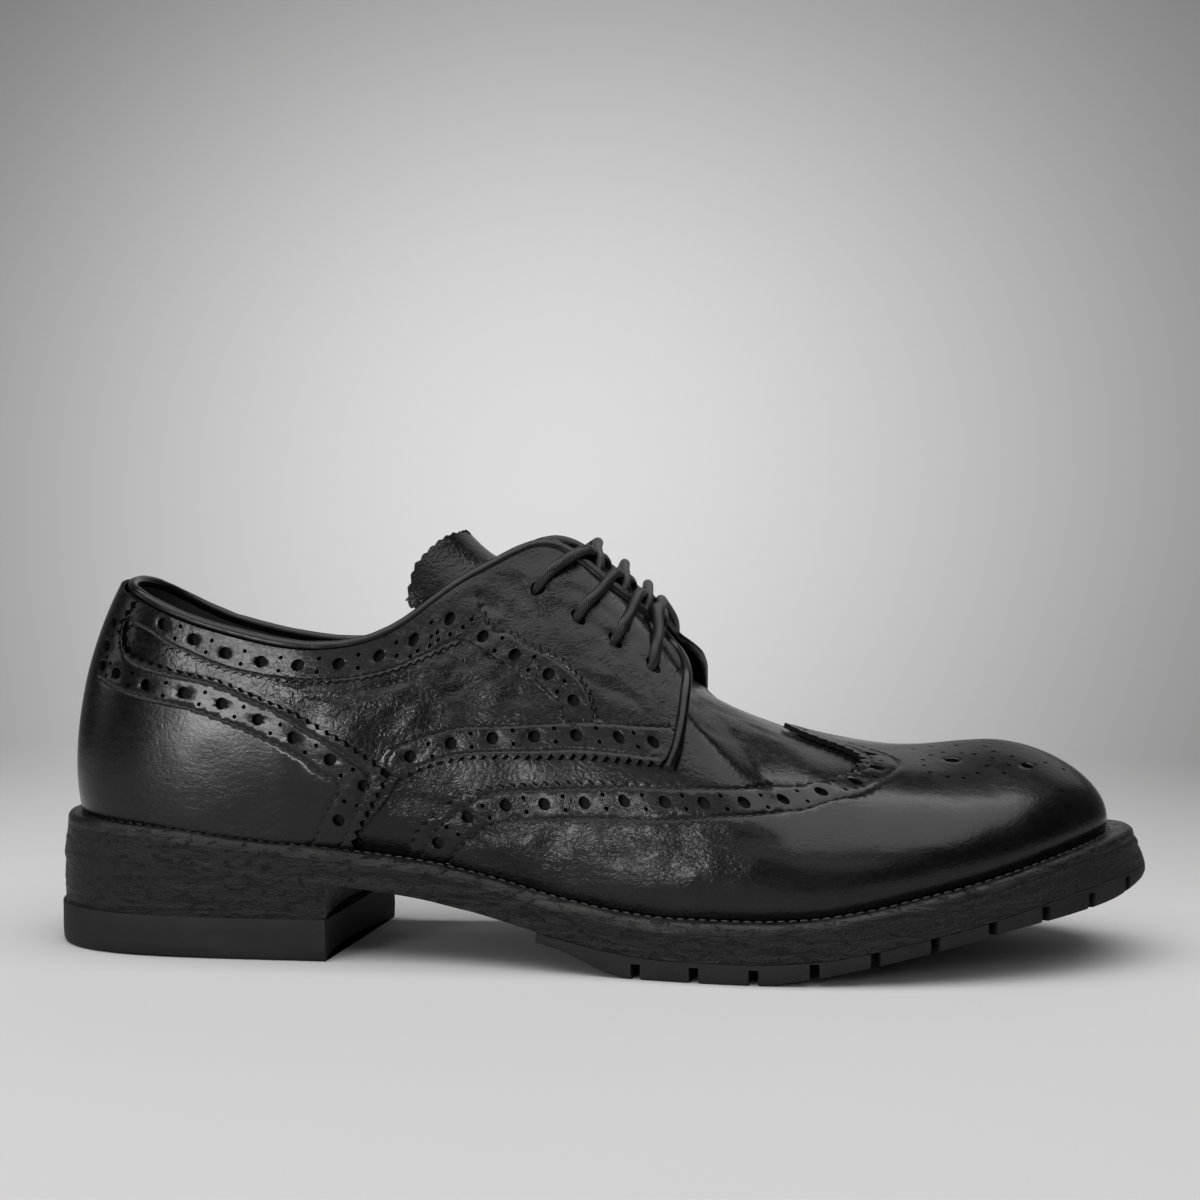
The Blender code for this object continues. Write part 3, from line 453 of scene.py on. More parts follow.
class Finish:
    """A material with one shader, and the nodes that feed it."""

    def __init__(self, name, colour, rough, coat=0.0, coat_rough=0.1):
        self.material = bpy.data.materials.new(name)
        self.material.use_nodes = True
        self.tree = self.material.node_tree
        self.shader = self.tree.nodes["Principled BSDF"]
        self.shader.inputs["Base Color"].default_value = (*colour, 1)
        self.shader.inputs["Roughness"].default_value = rough
        self.shader.inputs["Coat Weight"].default_value = coat
        self.shader.inputs["Coat Roughness"].default_value = coat_rough
        self.place = Wire(self, self.node("ShaderNodeTexCoord").outputs["Object"])

    def node(self, kind, settings=None, inputs=None):
        made = self.tree.nodes.new(kind)
        for key, value in (settings or {}).items():
            if key == "stops":
                for k, (where, colour) in enumerate(value):
                    stop = made.color_ramp.elements[k] if k < 2 else made.color_ramp.elements.new(where)
                    stop.position, stop.color = where, colour
            else:
                setattr(made, key, value)
        for key, value in (inputs or {}).items():
            value = value.socket if isinstance(value, Wire) else value
            if isinstance(value, bpy.types.NodeSocket):
                self.tree.links.new(value, made.inputs[key])
            else:
                made.inputs[key].default_value = value
        return made

    def noise(self, scale, detail=3.0, roughness=0.55, stretch=None, distortion=0.0):
        at = self.place
        if stretch:
            at = Wire(self, self.node("ShaderNodeMapping", None, {"Vector": at, "Scale": stretch}).outputs[0])
        made = self.node("ShaderNodeTexNoise", None, {"Vector": at, "Scale": scale, "Detail": detail,
                                                      "Roughness": roughness, "Distortion": distortion})
        return Wire(self, made.outputs["Fac"])

    def mix(self, factor, a, b):
        made = self.node("ShaderNodeMix", {"data_type": "RGBA"},
                         {0: factor, 6: (*a, 1) if isinstance(a, tuple) else a,
                                                                  7: (*b, 1) if isinstance(b, tuple) else b})
        return Wire(self, made.outputs[2])

    def attribute(self, name):
        return Wire(self, self.node("ShaderNodeAttribute", {"attribute_name": name}).outputs["Fac"])

    def bump(self, height, distance, strength=1.0):
        made = self.node("ShaderNodeBump", None,
                         {"Height": height, "Distance": distance, "Strength": strength})
        self.feed("Normal", Wire(self, made.outputs[0]))

    def feed(self, socket, wire):
        self.tree.links.new(wire.socket, self.shader.inputs[socket])


print("material helper ready")

# %% [markdown]
# ## Polished black leather
# Box calf is dyed black and polished, so nearly all that shows is gloss. Fine pores and a net of tiny lines
# break the gloss up, rubbed patches are a little paler and duller, and crumpled parts are matt. Where another
# leather lies on top, the colour is painted a flat dark and the gloss is taken off, as painted shade under
# the punched holes. The patches come from noise on object coordinates, and the crumple strength and the
# painted shade come from attributes on the mesh.

# %% Leather finishes
def leather_finish(name, rough, grain=1.0, rubbed=1.0, gloss=0.1):
    finish = Finish(name, (.008, .008, .008), rough, gloss, .14)
    finish.shader.inputs["Specular IOR Level"].default_value = .30
    pores = finish.noise(2600, 2)
    cloud = finish.noise(38, 4, .6)
    streak = finish.noise(220, 3, .6, (1.0, 1.0, 2.6), 1.2)
    net_at = finish.node("ShaderNodeVectorMath", {"operation": "ADD"}, {
        0: finish.place, 1: finish.node("ShaderNodeVectorMath", {"operation": "SCALE"}, {
            0: finish.node("ShaderNodeTexNoise", None,
                           {"Vector": finish.place, "Scale": 300}).outputs["Color"],
            "Scale": .0022}).outputs[0]}).outputs[0]
    net = finish.node("ShaderNodeTexVoronoi", {"feature": "DISTANCE_TO_EDGE"},
                      {"Vector": net_at, "Scale": 420})
    net = Wire(finish, net.outputs["Distance"]).between(0, .26)
    crumple = finish.attribute("crumple")
    painted_shade_under = finish.attribute("painted_shade_under")
    lines = finish.noise(230, 2, .55, (1.0, 1.0, 1.5), 2.0)
    folds = (lines - .5).math("ABSOLUTE", lines - .5).between(0, .16)
    worn = (cloud * .75 + streak * .45).between(.52, .86)
    colour = finish.mix(worn * rubbed, (.0020, .0020, .0020), (.0062, .0061, .0059))
    # Painted shade: where another leather lies on top, the colour is a flat dark and the gloss is taken off.
    finish.feed("Base Color", finish.mix(painted_shade_under, colour, (.004, .004, .004)))
    dull = rough + (cloud - .5) * .20 + (streak - .5) * .16 * rubbed + crumple * .04 + painted_shade_under * .5
    finish.feed("Coat Weight", (gloss - crumple * .6 - painted_shade_under).clamp())
    finish.feed("Roughness", dull.clamp(.12, .95))
    height = (pores * .02 * grain + net * (crumple * .05 + .05 * grain)
              + folds * (crumple * .20 + .045 * grain) + streak * .10)
    finish.bump(height, .00048)
    return finish.material


CALF = leather_finish("polished calf", .25, 1.0, 1.0, .06)
TOE_CALF = leather_finish("glossed calf", .27, .6, .8, .13)
PIPING = leather_finish("collar piping", .30, .8, .6)
print("leather finishes:", CALF.name, TOE_CALF.name, PIPING.name)

# %% [markdown]
# ## Lining, sole edge, rubber and thread
# The lining is matt. A sole edge is stacked leather, rasped, inked and waxed, so it keeps uneven streaks
# along its length. Rubber is dull with a fine moulded texture. Thread and lace are waxed cotton with a
# twist.

# %% Other finishes
def lining_finish():
    finish = Finish("lining leather", (.012, .012, .012), .62)
    soft = finish.noise(60, 4)
    finish.feed("Base Color", finish.mix(soft.between(.35, .7), (.008, .008, .008), (.022, .021, .020)))
    finish.feed("Roughness", (.52 + soft * .25).clamp())
    finish.bump(finish.noise(900, 4) * .6 + finish.noise(3000, 2) * .3, .0002)
    return finish.material


def edge_finish(name, rough, pale, depth):
    finish = Finish(name, (.008, .008, .008), rough)
    finish.shader.inputs["Specular IOR Level"].default_value = .28
    streak = finish.noise(170, 5, .65, (.35, .35, 2.4), 1.0)
    chips = finish.noise(420, 4, .7, (.55, .55, 1.5), .6)
    cloud = finish.noise(45, 3)
    dents = chips.between(.56, .66)
    worn = (streak * .8 + cloud * .4).between(.58, .86)
    finish.feed("Base Color", finish.mix(worn, (.0035, .0035, .0035), pale))
    finish.feed("Roughness", (rough + (streak - .5) * .35 + dents * .15).clamp(.2, .95))
    finish.bump(streak * .5 + chips * .45 - dents * .45 + finish.noise(1500, 3) * .12, depth)
    return finish.material


def rubber_finish():
    finish = Finish("rubber", (.009, .009, .009), .62)
    finish.shader.inputs["Specular IOR Level"].default_value = .30
    fine = finish.noise(1800, 3)
    dust = finish.noise(75, 4, .6)
    finish.feed("Base Color", finish.mix(dust.between(.42, .75), (.006, .006, .006), (.015, .015, .0147)))
    finish.feed("Roughness", (.60 + dust * .22).clamp())
    finish.bump(fine * .5 + finish.noise(260, 4, .6, (1, 1, 2.0)) * .6, .00018)
    return finish.material


def cord_finish(name, ribs, rough):
    finish = Finish(name, (.009, .009, .009), rough)
    run = finish.node("ShaderNodeUVMap", {"uv_map": "run"}).outputs[0]
    twill = finish.node("ShaderNodeTexWave", {"bands_direction": "DIAGONAL"}, {
        "Vector": run, "Scale": ribs, "Distortion": 1.2, "Detail": 2.0})
    twill = Wire(finish, twill.outputs["Fac"])
    soft = finish.noise(240, 3)
    finish.feed("Base Color", finish.mix(soft.between(.4, .7), (.005, .005, .005), (.006, .0059, .0057)))
    finish.feed("Roughness", (rough + (soft - .5) * .3).clamp())
    finish.bump(twill * .5 + soft * .5, .00022)
    return finish.material


LINING_SKIN = lining_finish()
SOLE_EDGE = edge_finish("inked sole edge", .46, (.006, .0059, .0057), .0019)
WELT_EDGE = edge_finish("waxed welt", .36, (.036, .035, .034), .0010)
RUBBER_SKIN = rubber_finish()
LACE_CORD = cord_finish("waxed lace", 9.0, .33)
THREAD = Finish("thread", (.009, .009, .009), .38)
THREAD.bump(THREAD.noise(2200, 2, .5, (1, 1, .4)), .00012)
THREAD = THREAD.material
CUT_EDGE = Finish("cut leather edge", (.004, .004, .004), .75)
CUT_EDGE.shader.inputs["Specular IOR Level"].default_value = .15
CUT_EDGE = CUT_EDGE.material
print("finishes:", len(bpy.data.materials))

# %% [markdown]
# ## Making a piece
# Every piece is a mesh whose object sits at the origin, so its place is in its points. Doubles are merged,
# faces turned outwards, and edges sharper than a limit stay crisp while the rest is shaded smooth.

# %% Piece helper
def piece(name, points, faces, materials, sharp=50, weld=1e-6, attributes=None, second=()):
    """A mesh from points measured from the heel back; second lists the faces of the second material."""
    mesh = bpy.data.meshes.new(name)
    mesh.from_pydata((np.asarray(points) - np.array([REST_BACK, 0, 0])).tolist(), [],
                     [tuple(map(int, f)) for f in faces])
    for material in materials:
        mesh.materials.append(material)
    for index in second:
        mesh.polygons[index].material_index = 1
    for key, values in (attributes or {}).items():
        mesh.attributes.new(key, "FLOAT", "POINT").data.foreach_set("value", np.asarray(values, "f"))
    bm = bmesh.new()
    bm.from_mesh(mesh)
    bmesh.ops.remove_doubles(bm, verts=bm.verts, dist=weld)
    bmesh.ops.recalc_face_normals(bm, faces=bm.faces)
    if bm.calc_volume(signed=True) < 0:
        bmesh.ops.reverse_faces(bm, faces=bm.faces)
    bm.to_mesh(mesh)
    bm.free()
    mesh.shade_smooth()
    mesh.set_sharp_from_angle(angle=math.radians(sharp))
    made = bpy.data.objects.new(name, mesh)
    bpy.context.scene.collection.objects.link(made)
    return made


def dress(made, slot, *nodes):
    """Rides on the shoe and stands for the plain pieces named; slot is not used."""
    if nodes:
        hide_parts(*nodes)
    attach(made, "root")
    print(made.name, len(made.data.polygons), "faces")
    return made


print("piece helper ready")

# %% [markdown]
# ## Creases, lumps and crumple
# Worn calf is never quite smooth. The main creases are listed as soft troughs between two points on
# one side. Small lumps and the crumpled patches come from noise that is read in the unrolled pattern, so
# each leather in the stack carries the same relief and the layers stay parallel.

# %% Relief of the leather
# Creases: side, from t, w, to t, w, width and depth in millimetres
CREASES = [(-1, .442, .945, .460, .825, 1.7, .45), (-1, .463, .960, .483, .810, 1.9, .60),
           (-1, .483, .810, .487, .760, 1.5, .45),
           (-1, .448, .888, .478, .782, 1.6, .45), (-1, .417, .703, .444, .716, 1.5, .45),
           (-1, .444, .716, .470, .725, 1.5, .40),
           (-1, .420, .645, .458, .640, 1.8, .45), (-1, .399, .868, .431, .725, 1.8, .40),
           (-1, .372, .765, .418, .735, 2.2, .45),
           (-1, .441, .585, .475, .575, 2.0, .40), (-1, .498, .855, .544, .875, 1.7, .40),
           (-1, .520, .790, .562, .853, 1.5, .35),
           (-1, .330, .777, .376, .775, 2.4, .35), (-1, .419, .840, .438, .745, 1.4, .40),
           (-1, .555, .800, .563, .772, 1.1, .35),
           (-1, .572, .755, .566, .640, 1.1, .40), (-1, .562, .738, .558, .645, 1.0, .35),
           (-1, .518, .606, .548, .622, 1.8, .40),
           (-1, .505, .640, .535, .655, 1.5, .35), (-1, .602, .695, .645, .700, 2.4, .35),
           (-1, .610, .780, .658, .880, 2.4, .40),
           (-1, .650, .823, .690, .835, 2.2, .35), (-1, .383, .253, .405, .217, 1.5, .40),
           (-1, .390, .297, .420, .242, 1.5, .35),
           (-1, .438, .152, .470, .212, 1.8, .35), (-1, .343, .818, .366, .720, 1.6, .30),
           (-1, .309, .850, .352, .838, 1.6, .30),
           (-1, .509, .258, .553, .268, 2.2, .30), (-1, .508, .173, .545, .232, 2.0, .30),
           (-1, .570, .30, .620, .28, 2.4, .25),
           (1, .450, .93, .470, .80, 1.8, .45), (1, .430, .72, .475, .70, 1.8, .40),
           (1, .395, .80, .430, .70, 1.8, .40),
           (1, .500, .86, .545, .87, 1.7, .35), (1, .560, .76, .563, .64, 1.2, .35),
           (1, .515, .62, .550, .64, 1.8, .35),
           (1, .605, .72, .650, .74, 2.4, .35), (1, .612, .80, .660, .88, 2.4, .35),
           (1, .430, .30, .470, .26, 2.0, .30),
           (1, .520, .25, .570, .27, 2.2, .30)]
# Crumpled patches: side, t, w, radius in t, radius in w, strength
CRUMPLED = [(-1, .435, .72, .055, .16, 1.0), (-1, .475, .83, .040, .12, .9),
            (-1, .355, .78, .040, .10, .45), (-1, .530, .74, .045, .12, .50),
            (-1, .400, .26, .035, .10, .9), (-1, .570, .70, .020, .12, .5), (-1, .530, .22, .060, .12, .55),
            (-1, .625, .78, .040, .14, .30),
            (-1, .455, .16, .040, .14, .7), (1, .440, .74, .060, .16, .8), (1, .530, .72, .045, .14, .5),
            (1, .410, .26, .040, .12, .6),
            (1, .625, .78, .040, .14, .30), (1, .530, .22, .060, .12, .45)]
# Stiff parts: t, w, radius in t, radius in w
STIFF = [(.98, .5, .20, .9), (.05, .35, .24, .45)]


def crumple_at(u, w):
    """How crumpled the leather is, 0 to 1."""
    total = np.zeros(np.shape(u))
    for side, t, height, reach, rise, strength in CRUMPLED:
        near = np.exp(-((np.abs(u) - t) / reach) ** 2 - ((w - height) / rise) ** 2)
        total = np.maximum(total, np.where(u * side >= 0, strength * near, 0))
    return total


def relief(u, w):
    """Height that creases, lumps and crumple add."""
    u, w = np.broadcast_arrays(np.asarray(u, float), np.asarray(w, float))
    flat = unroll(np.stack([np.abs(u), w], -1))
    total = np.zeros(u.shape)
    for side, t0, w0, t1, w1, width, depth in CREASES:
        a, b = unroll([(t0, w0), (t1, w1)])
        along = b - a
        length = np.linalg.norm(along)
        share = ((flat - a) @ along) / length ** 2
        across = (flat - a) @ np.array([-along[1], along[0]]) / length
        bow = .0016 * np.sin(share * math.pi) * (1 if depth > .37 else -1)
        fade = ease((share + .12) / .35) * ease((1.12 - share) / .35)
        q = (across - bow) / (width * 1e-3)
        profile = (-np.exp(-q ** 2) + .55 * np.exp(-((q - 1.5) / .9) ** 2)
                   + .35 * np.exp(-((q + 1.6) / 1.0) ** 2))
        total += np.where(u * side > 0, depth * 1e-3 * .75 * fade * profile, 0)
    stiff = np.zeros(u.shape)
    for t, height, reach, rise in STIFF:
        stiff = np.maximum(stiff, np.exp(-((np.abs(u) - t) / reach) ** 2 - ((w - height) / rise) ** 2))
    crumple = crumple_at(u, w)
    edge = ease((1 - w) / .02) * (np.abs(u) < THROAT_END) + (np.abs(u) >= THROAT_END)
    lumps, folds = np.zeros(u.size), np.zeros(u.size)
    turn = math.radians(28)
    at = last(u, w).reshape(-1, 3)
    plane = flat.reshape(-1, 2)
    for k, (s, v) in enumerate(plane):
        lumps[k] = noise.noise(Vector(at[k]) * 62) + .5 * noise.noise(Vector(at[k]) * 130)
    rough = crumple.reshape(-1)
    for k in np.where(rough > .03)[0]:
        s, v = plane[k]
        i, j = s * math.cos(turn) + v * math.sin(turn), v * math.cos(turn) - s * math.sin(turn)
        q = Vector((i * 85, j * 260, 3.0 if u.reshape(-1)[k] > 0 else 7.0))
        q += Vector((0, .9 * noise.noise(Vector((s * 190, v * 190, 1.0))), 0))
        folds[k] = .62 - 2.1 * abs(noise.noise(q)) - .7 * abs(noise.noise(q * 2.1))
    total += (.00022 * (1 - .75 * stiff) * (1 + 7.0 * crumple)) * lumps.reshape(u.shape)
    total += -.00040 * np.clip(crumple, 0, 1) * folds.reshape(u.shape)
    return total * edge * ease(w / .10)


print("relief at one crease", relief([-.47], [.89]).round(5))

# %% [markdown]
# ## Cutting a leather pattern
# A pattern piece is meshed in the unrolled plane: its outline and holes are kept as edges, and the inside
# is filled with points set out like a honeycomb, so that triangles stay even. Rails are extra rows of
# points beside a stitch line, so a narrow groove has points to bend at.

# %% Pattern meshing
def inside_many(points, polygon):
    x, y = points[:, 0], points[:, 1]
    odd = np.zeros(len(points), bool)
    a, b = polygon, np.roll(polygon, -1, axis=0)
    for (ax, ay), (bx, by) in zip(a, b):
        if ay != by:
            odd ^= ((ay > y) != (by > y)) & (x < ax + (y - ay) / (by - ay) * (bx - ax))
    return odd


def true_lengths(plane, side=-1):
    """Length along a run of plane points, measured on the last."""
    shares = roll_up(np.asarray(plane, float))
    on_last = last(side * shares[:, 0], shares[:, 1])
    return np.concatenate([[0], np.cumsum(np.linalg.norm(np.diff(on_last, axis=0), axis=1))])


def walk(shares, pitch, side=-1, smooth_line=True):
    """Plane points along a line of shares, an even true distance apart, and their sideways directions."""
    knots = unroll(shares)
    gap = np.concatenate([[0], np.cumsum(np.linalg.norm(np.diff(knots, axis=0), axis=1))])
    fine = np.linspace(0, gap[-1], max(40, int(gap[-1] / .0006)))
    if smooth_line and len(knots) > 2:
        line = np.stack([monotone(fine, np.stack([gap, knots[:, k]], -1)) for k in (0, 1)], -1)
    else:
        line = np.stack([np.interp(fine, gap, knots[:, k]) for k in (0, 1)], -1)
    run = true_lengths(line, side)
    count = max(1, round(run[-1] / pitch))
    at = np.linspace(0, run[-1], count + 1)
    points = np.stack([np.interp(at, run, line[:, k]) for k in (0, 1)], -1)
    direction = np.gradient(points, axis=0)
    direction /= np.linalg.norm(direction, axis=1, keepdims=True)
    return points, np.stack([-direction[:, 1], direction[:, 0]], -1)


def stretch(plane_point, side=-1):
    """True metres for one metre of the plane, along and across, at a point."""
    step = 4e-4
    def at(ds, dv):
        t, w = roll_up(np.asarray(plane_point, float) + (ds, dv))
        return last(side * float(t), float(w))
    return (np.linalg.norm(at(step, 0) - at(-step, 0)) / (2 * step),
            np.linalg.norm(at(0, step) - at(0, -step)) / (2 * step))


def pinked(shares, pitch=.0031, depth=.0015, outwards=1):
    """A saw-toothed edge along a line of shares: plane points, two for each tooth."""
    points, side = walk(shares, pitch / 2)
    offsets = np.where(np.arange(len(points)) % 2 == 0, -.5, .5) * depth * outwards
    return points + side * offsets[:, None]


def hole_loop(centre, diameter, count):
    along, across = stretch(centre)
    angle = np.arange(count) / count * 2 * math.pi
    return np.stack([centre[0] + diameter / 2 / along * np.cos(angle),
                     centre[1] + diameter / 2 / across * np.sin(angle)], -1)


def cut_pattern(outline_plane, spacing, holes=(), rails=()):
    """Points and triangles of a pattern piece in the plane; holes are (centre, diameter)."""
    def dense(loop):
        out = []
        for a, b in zip(loop, np.roll(loop, -1, axis=0)):
            steps = max(1, math.ceil(np.linalg.norm(b - a) / spacing - .3))
            out += [a + (b - a) * k / steps for k in range(steps)]
        return np.array(out)
    border = dense(np.asarray(outline_plane))
    loops = [border]
    rings = []
    for centre, diameter in holes:
        count = 16 if diameter > .002 else 8
        loops.append(hole_loop(centre, diameter, count))
        rings.append(hole_loop(centre, diameter * 1.0 + .0009, count))
    verts, edges = [], []
    for loop in loops:
        base = len(verts)
        verts += [tuple(p) for p in loop]
        edges += [(base + i, base + (i + 1) % len(loop)) for i in range(len(loop))]
    free = [np.asarray(r) for r in rings + list(rails)]
    kept = np.concatenate(free) if free else np.zeros((0, 2))
    if len(kept):
        kept = kept[inside_many(kept, border)]
    low, high = border.min(0), border.max(0)
    rows = np.arange(low[1], high[1], spacing * .87)
    grid = np.concatenate([np.stack([np.arange(low[0] + (k % 2) * spacing / 2, high[0], spacing),
                                     np.full(len(np.arange(low[0] + (k % 2) * spacing / 2, high[0],
                                                           spacing)), y)], -1)
                           for k, y in enumerate(rows)])
    grid = grid[inside_many(grid, border)]
    tree = kdtree.KDTree(len(verts) + len(kept))
    for k, p in enumerate(verts + [tuple(q) for q in kept]):
        tree.insert((*p, 0), k)
    tree.balance()
    far = [p for p in grid if tree.find((*p, 0))[2] > spacing * .55]
    border_tree = kdtree.KDTree(len(verts))
    for k, p in enumerate(verts):
        border_tree.insert((*p, 0), k)
    border_tree.balance()
    kept = [p for p in kept if border_tree.find((*p, 0))[2] > .00022]
    every = [Vector(p) for p in verts] + [Vector(p) for p in kept] + [Vector(p) for p in far]
    result = delaunay_2d_cdt(every, edges, [], 1, 1e-7)
    plane = np.array([v[:] for v in result[0]])
    faces = np.array([f for f in result[2] if len(f) == 3])
    middle = plane[faces].mean(1)
    drop = np.zeros(len(faces), bool)
    for loop in loops[1:]:
        close = np.linalg.norm(middle - loop.mean(0), axis=1) < .004
        drop[close] |= inside_many(middle[close], loop)
    a, b, c = plane[faces[:, 0]], plane[faces[:, 1]], plane[faces[:, 2]]
    area = np.abs((b[:, 0] - a[:, 0]) * (c[:, 1] - a[:, 1]) - (b[:, 1] - a[:, 1]) * (c[:, 0] - a[:, 0]))
    return plane, faces[~drop & (area > 1e-12)]


def nearest(points, lines):
    """Distance from each plane point to the closest of some runs of points."""
    dense_points = np.concatenate([np.concatenate([a[None] + (b - a)[None] * s[:, None]
                                                   for a, b in zip(line, line[1:])])
                                   for line in lines for s in [np.linspace(0, 1, 6)]])
    tree = kdtree.KDTree(len(dense_points))
    for k, p in enumerate(dense_points):
        tree.insert((*p, 0), k)
    tree.balance()
    return np.array([tree.find((*p, 0))[2] for p in points])


print("pattern tools ready")

# %% [markdown]
# ## Laying a pattern on the last
# The flat pattern is placed on the last at two heights, which gives the leather its thickness, and the rims
# of its edge and holes are closed. A piece that runs over both sides is laid twice and joined along the
# middle. Hole edges dip a little, as punched leather does, and stitch lines press a narrow groove.

# %% Laying helper
GROOVE = 0.00034          # depth of a stitch groove
BAND_RISE = 0.0007        # how far the perforated bands stand above the quarter


def lay(name, pattern, sides, low, high, materials, holes=(), grooves=(), lift=None, sharp=48, cover=None):
    """A solid leather from a flat pattern; low and high are heights off the last, or functions of it."""
    plane, faces = pattern
    shares = roll_up(plane)
    t, w = shares[:, 0], np.clip(shares[:, 1], 0, 1)
    count = len(plane)
    dip = np.zeros(count)
    if grooves:
        dip -= GROOVE * np.exp(-(nearest(plane, grooves) / .00024) ** 2)
    for centre, diameter in holes:
        away = np.linalg.norm(plane - np.asarray(centre), axis=1)
        dip -= .00015 * (away < diameter / 2 * 1.35) * (diameter > .002)
    both = len(sides) == 2
    shared = (t < SEAM) | (t > 1 - SEAM) | ((w > 1 - 3e-4) & (t >= THROAT_END - SEAM))
    if both:
        faces = faces[~shared[faces].all(1)]
    directed = {(int(a), int(b)) for f in faces for a, b in ((f[0], f[1]), (f[1], f[2]), (f[2], f[0]))}
    rim = [(a, b) for a, b in directed if (b, a) not in directed and not (both and shared[a] and shared[b])]
    points, built, crumple, cut = [], [], [], []
    for side in sides:
        u = side * t
        shape = relief(u, w) + (lift(u, w) if lift else 0)
        base = len(points) * count * 2
        points.append(np.concatenate([leather(u, w, low + shape),
                                      leather(u, w, high(plane, u, w) + shape + dip)
                                      if callable(high) else leather(u, w, high + shape + dip)]))
        built += [tuple(base + f) for f in faces] + [tuple(base + count + f[::-1]) for f in faces]
        cut += range(len(built), len(built) + len(rim))
        built += [(base + a, base + count + a, base + count + b, base + b) for a, b in sorted(rim)]
        crumple.append(np.tile(crumple_at(u, w), 2))
    points = np.concatenate(points)
    if both:
        for layer in (0, count):
            where = np.where(shared)[0]
            middle = .5 * (points[layer + where] + points[2 * count + layer + where])
            points[layer + where] = points[2 * count + layer + where] = middle
    # Painted shade: cover is one where another leather lies on top, and the finish paints that part dark and
    # matt.
    hidden = np.tile(cover(plane) if cover else np.zeros(count), 2 * len(sides))
    return piece(name, points, built, materials, sharp, 2e-6,
                 {"crumple": np.concatenate(crumple), "painted_shade_under": hidden}, cut)


print("laying helper ready")

# %% [markdown]
# ## Lines for stitches and holes
# The decoration of a brogue is a set of lines: a pinked edge, one or two rows of stitching inside it, and a
# row of large holes with pairs of small ones between them. Each line is a short list of shares read off the
# photograph, and the same lines serve both sides.

# %% Decoration lines
WING_HIGH_STITCH = [(.718, .995), (.7215, .955), (.736, .880), (.7405, .800), (.7345, .735), (.7185, .660),
                    (.697, .602), (.675, .545), (.644, .490), (.612, .455), (.583, .420),
                    (.558, .398), (.533, .380), (.508, .351), (.486, .336), (.463, .322), (.449, .308),
                    (.434, .272),
                    (.417, .180), (.408, .110), (.404, .010)]
WING_LOW_STITCH = [(.724, .995), (.745, .920), (.757, .840), (.759, .770), (.752, .700), (.742, .662),
                   (.724, .598), (.708, .542), (.688, .487), (.665, .443),
                   (.638, .390), (.608, .362), (.566, .318), (.530, .290), (.485, .253), (.459, .225),
                   (.444, .193),
                   (.432, .133), (.424, .065), (.421, .010)]
WING_HOLES = [(.745, .800), (.728, .670), (.696, .560), (.663, .480), (.633, .425), (.602, .400),
              (.574, .370), (.549, .355),
              (.524, .333), (.500, .307), (.476, .290), (.453, .268), (.430, .208), (.413, .085)]
COUNTER_HIGH_STITCH = [(.1285, .960), (.118, .900), (.126, .832), (.150, .778), (.178, .772), (.205, .776),
                       (.230, .778), (.256, .768),
                       (.275, .750), (.292, .722), (.306, .700), (.323, .660), (.340, .578), (.356, .485),
                       (.372, .357),
                       (.367, .245), (.361, .140), (.355, .020)]
COUNTER_LOW_STITCH = [(.100, .668), (.118, .662), (.159, .647), (.204, .650), (.234, .642), (.261, .618),
                      (.288, .583),
                      (.304, .550), (.321, .508), (.335, .453), (.345, .380), (.356, .328), (.355, .305),
                      (.348, .200),
                      (.342, .088), (.336, .010)]
COUNTER_HOLES = [(.092, .880), (.094, .790), (.100, .715), (.134, .710), (.182, .703), (.227, .705),
                 (.268, .682), (.303, .628),
                 (.331, .550), (.350, .448), (.369, .325), (.354, .150)]
COLLAR_STITCH = [(.100, .925), (.141, .920), (.160, .920), (.190, .902), (.217, .890), (.248, .868),
                 (.276, .855), (.312, .852),
                 (.350, .850), (.388, .842), (.409, .832), (.432, .823)]
COLLAR_HOLES = [(.178, .962), (.220, .945), (.258, .922), (.294, .917), (.326, .922), (.353, .922),
                (.379, .918), (.402, .915),
                (.427, .903)]
INSTEP_OUT = [(.445, .985), (.447, .880), (.452, .800), (.462, .780), (.473, .725), (.487, .685),
              (.498, .647), (.506, .615),
              (.510, .578), (.511, .542), (.511, .517)]
INSTEP_IN = [(.432, .823), (.443, .765), (.453, .713), (.464, .677), (.476, .630), (.484, .590),
             (.491, .560), (.492, .530),
             (.491, .510)]
INSTEP_HOLES = [(.447, .795), (.466, .710), (.486, .638), (.500, .568)]
BAND_STITCH = [(.386, .480), (.391, .497), (.403, .512), (.416, .520), (.428, .522), (.448, .512),
               (.490, .508), (.511, .517),
               (.528, .535), (.545, .556), (.566, .580)]
BAND_LOW_STITCH = [(.402, .406), (.415, .425), (.427, .433), (.446, .436), (.478, .438), (.509, .446),
                   (.534, .466), (.550, .478)]
BAND_HOLES = [(.396, .445), (.421, .473), (.447, .478), (.473, .478), (.499, .480), (.526, .500),
              (.549, .520)]
FAN_HOLES = [(.418, .883), (.426, .850), (.435, .850), (.418, .855), (.431, .825), (.412, .853),
             (.404, .862), (.399, .855),
             (.441, .862)]
MEDALLION_BIG = [(.812, .713), (.872, .550)]
MEDALLION_SMALL = [(.774, .688), (.767, .625), (.776, .585), (.788, .562), (.808, .578), (.829, .613),
                   (.852, .662),
                   (.876, .718), (.848, .728), (.839, .758), (.826, .800), (.807, .787), (.786, .743),
                   (.831, .537),
                   (.852, .583), (.879, .642), (.909, .545), (.927, .478), (.812, .880), (.842, .900),
                   (.868, .860), (.890, .790)]
BIG_HOLE, SMALL_HOLE = .0035, .00125
LACE_HOLES = [(.487, .875), (.512, .797), (.538, .793), (.566, .775)]


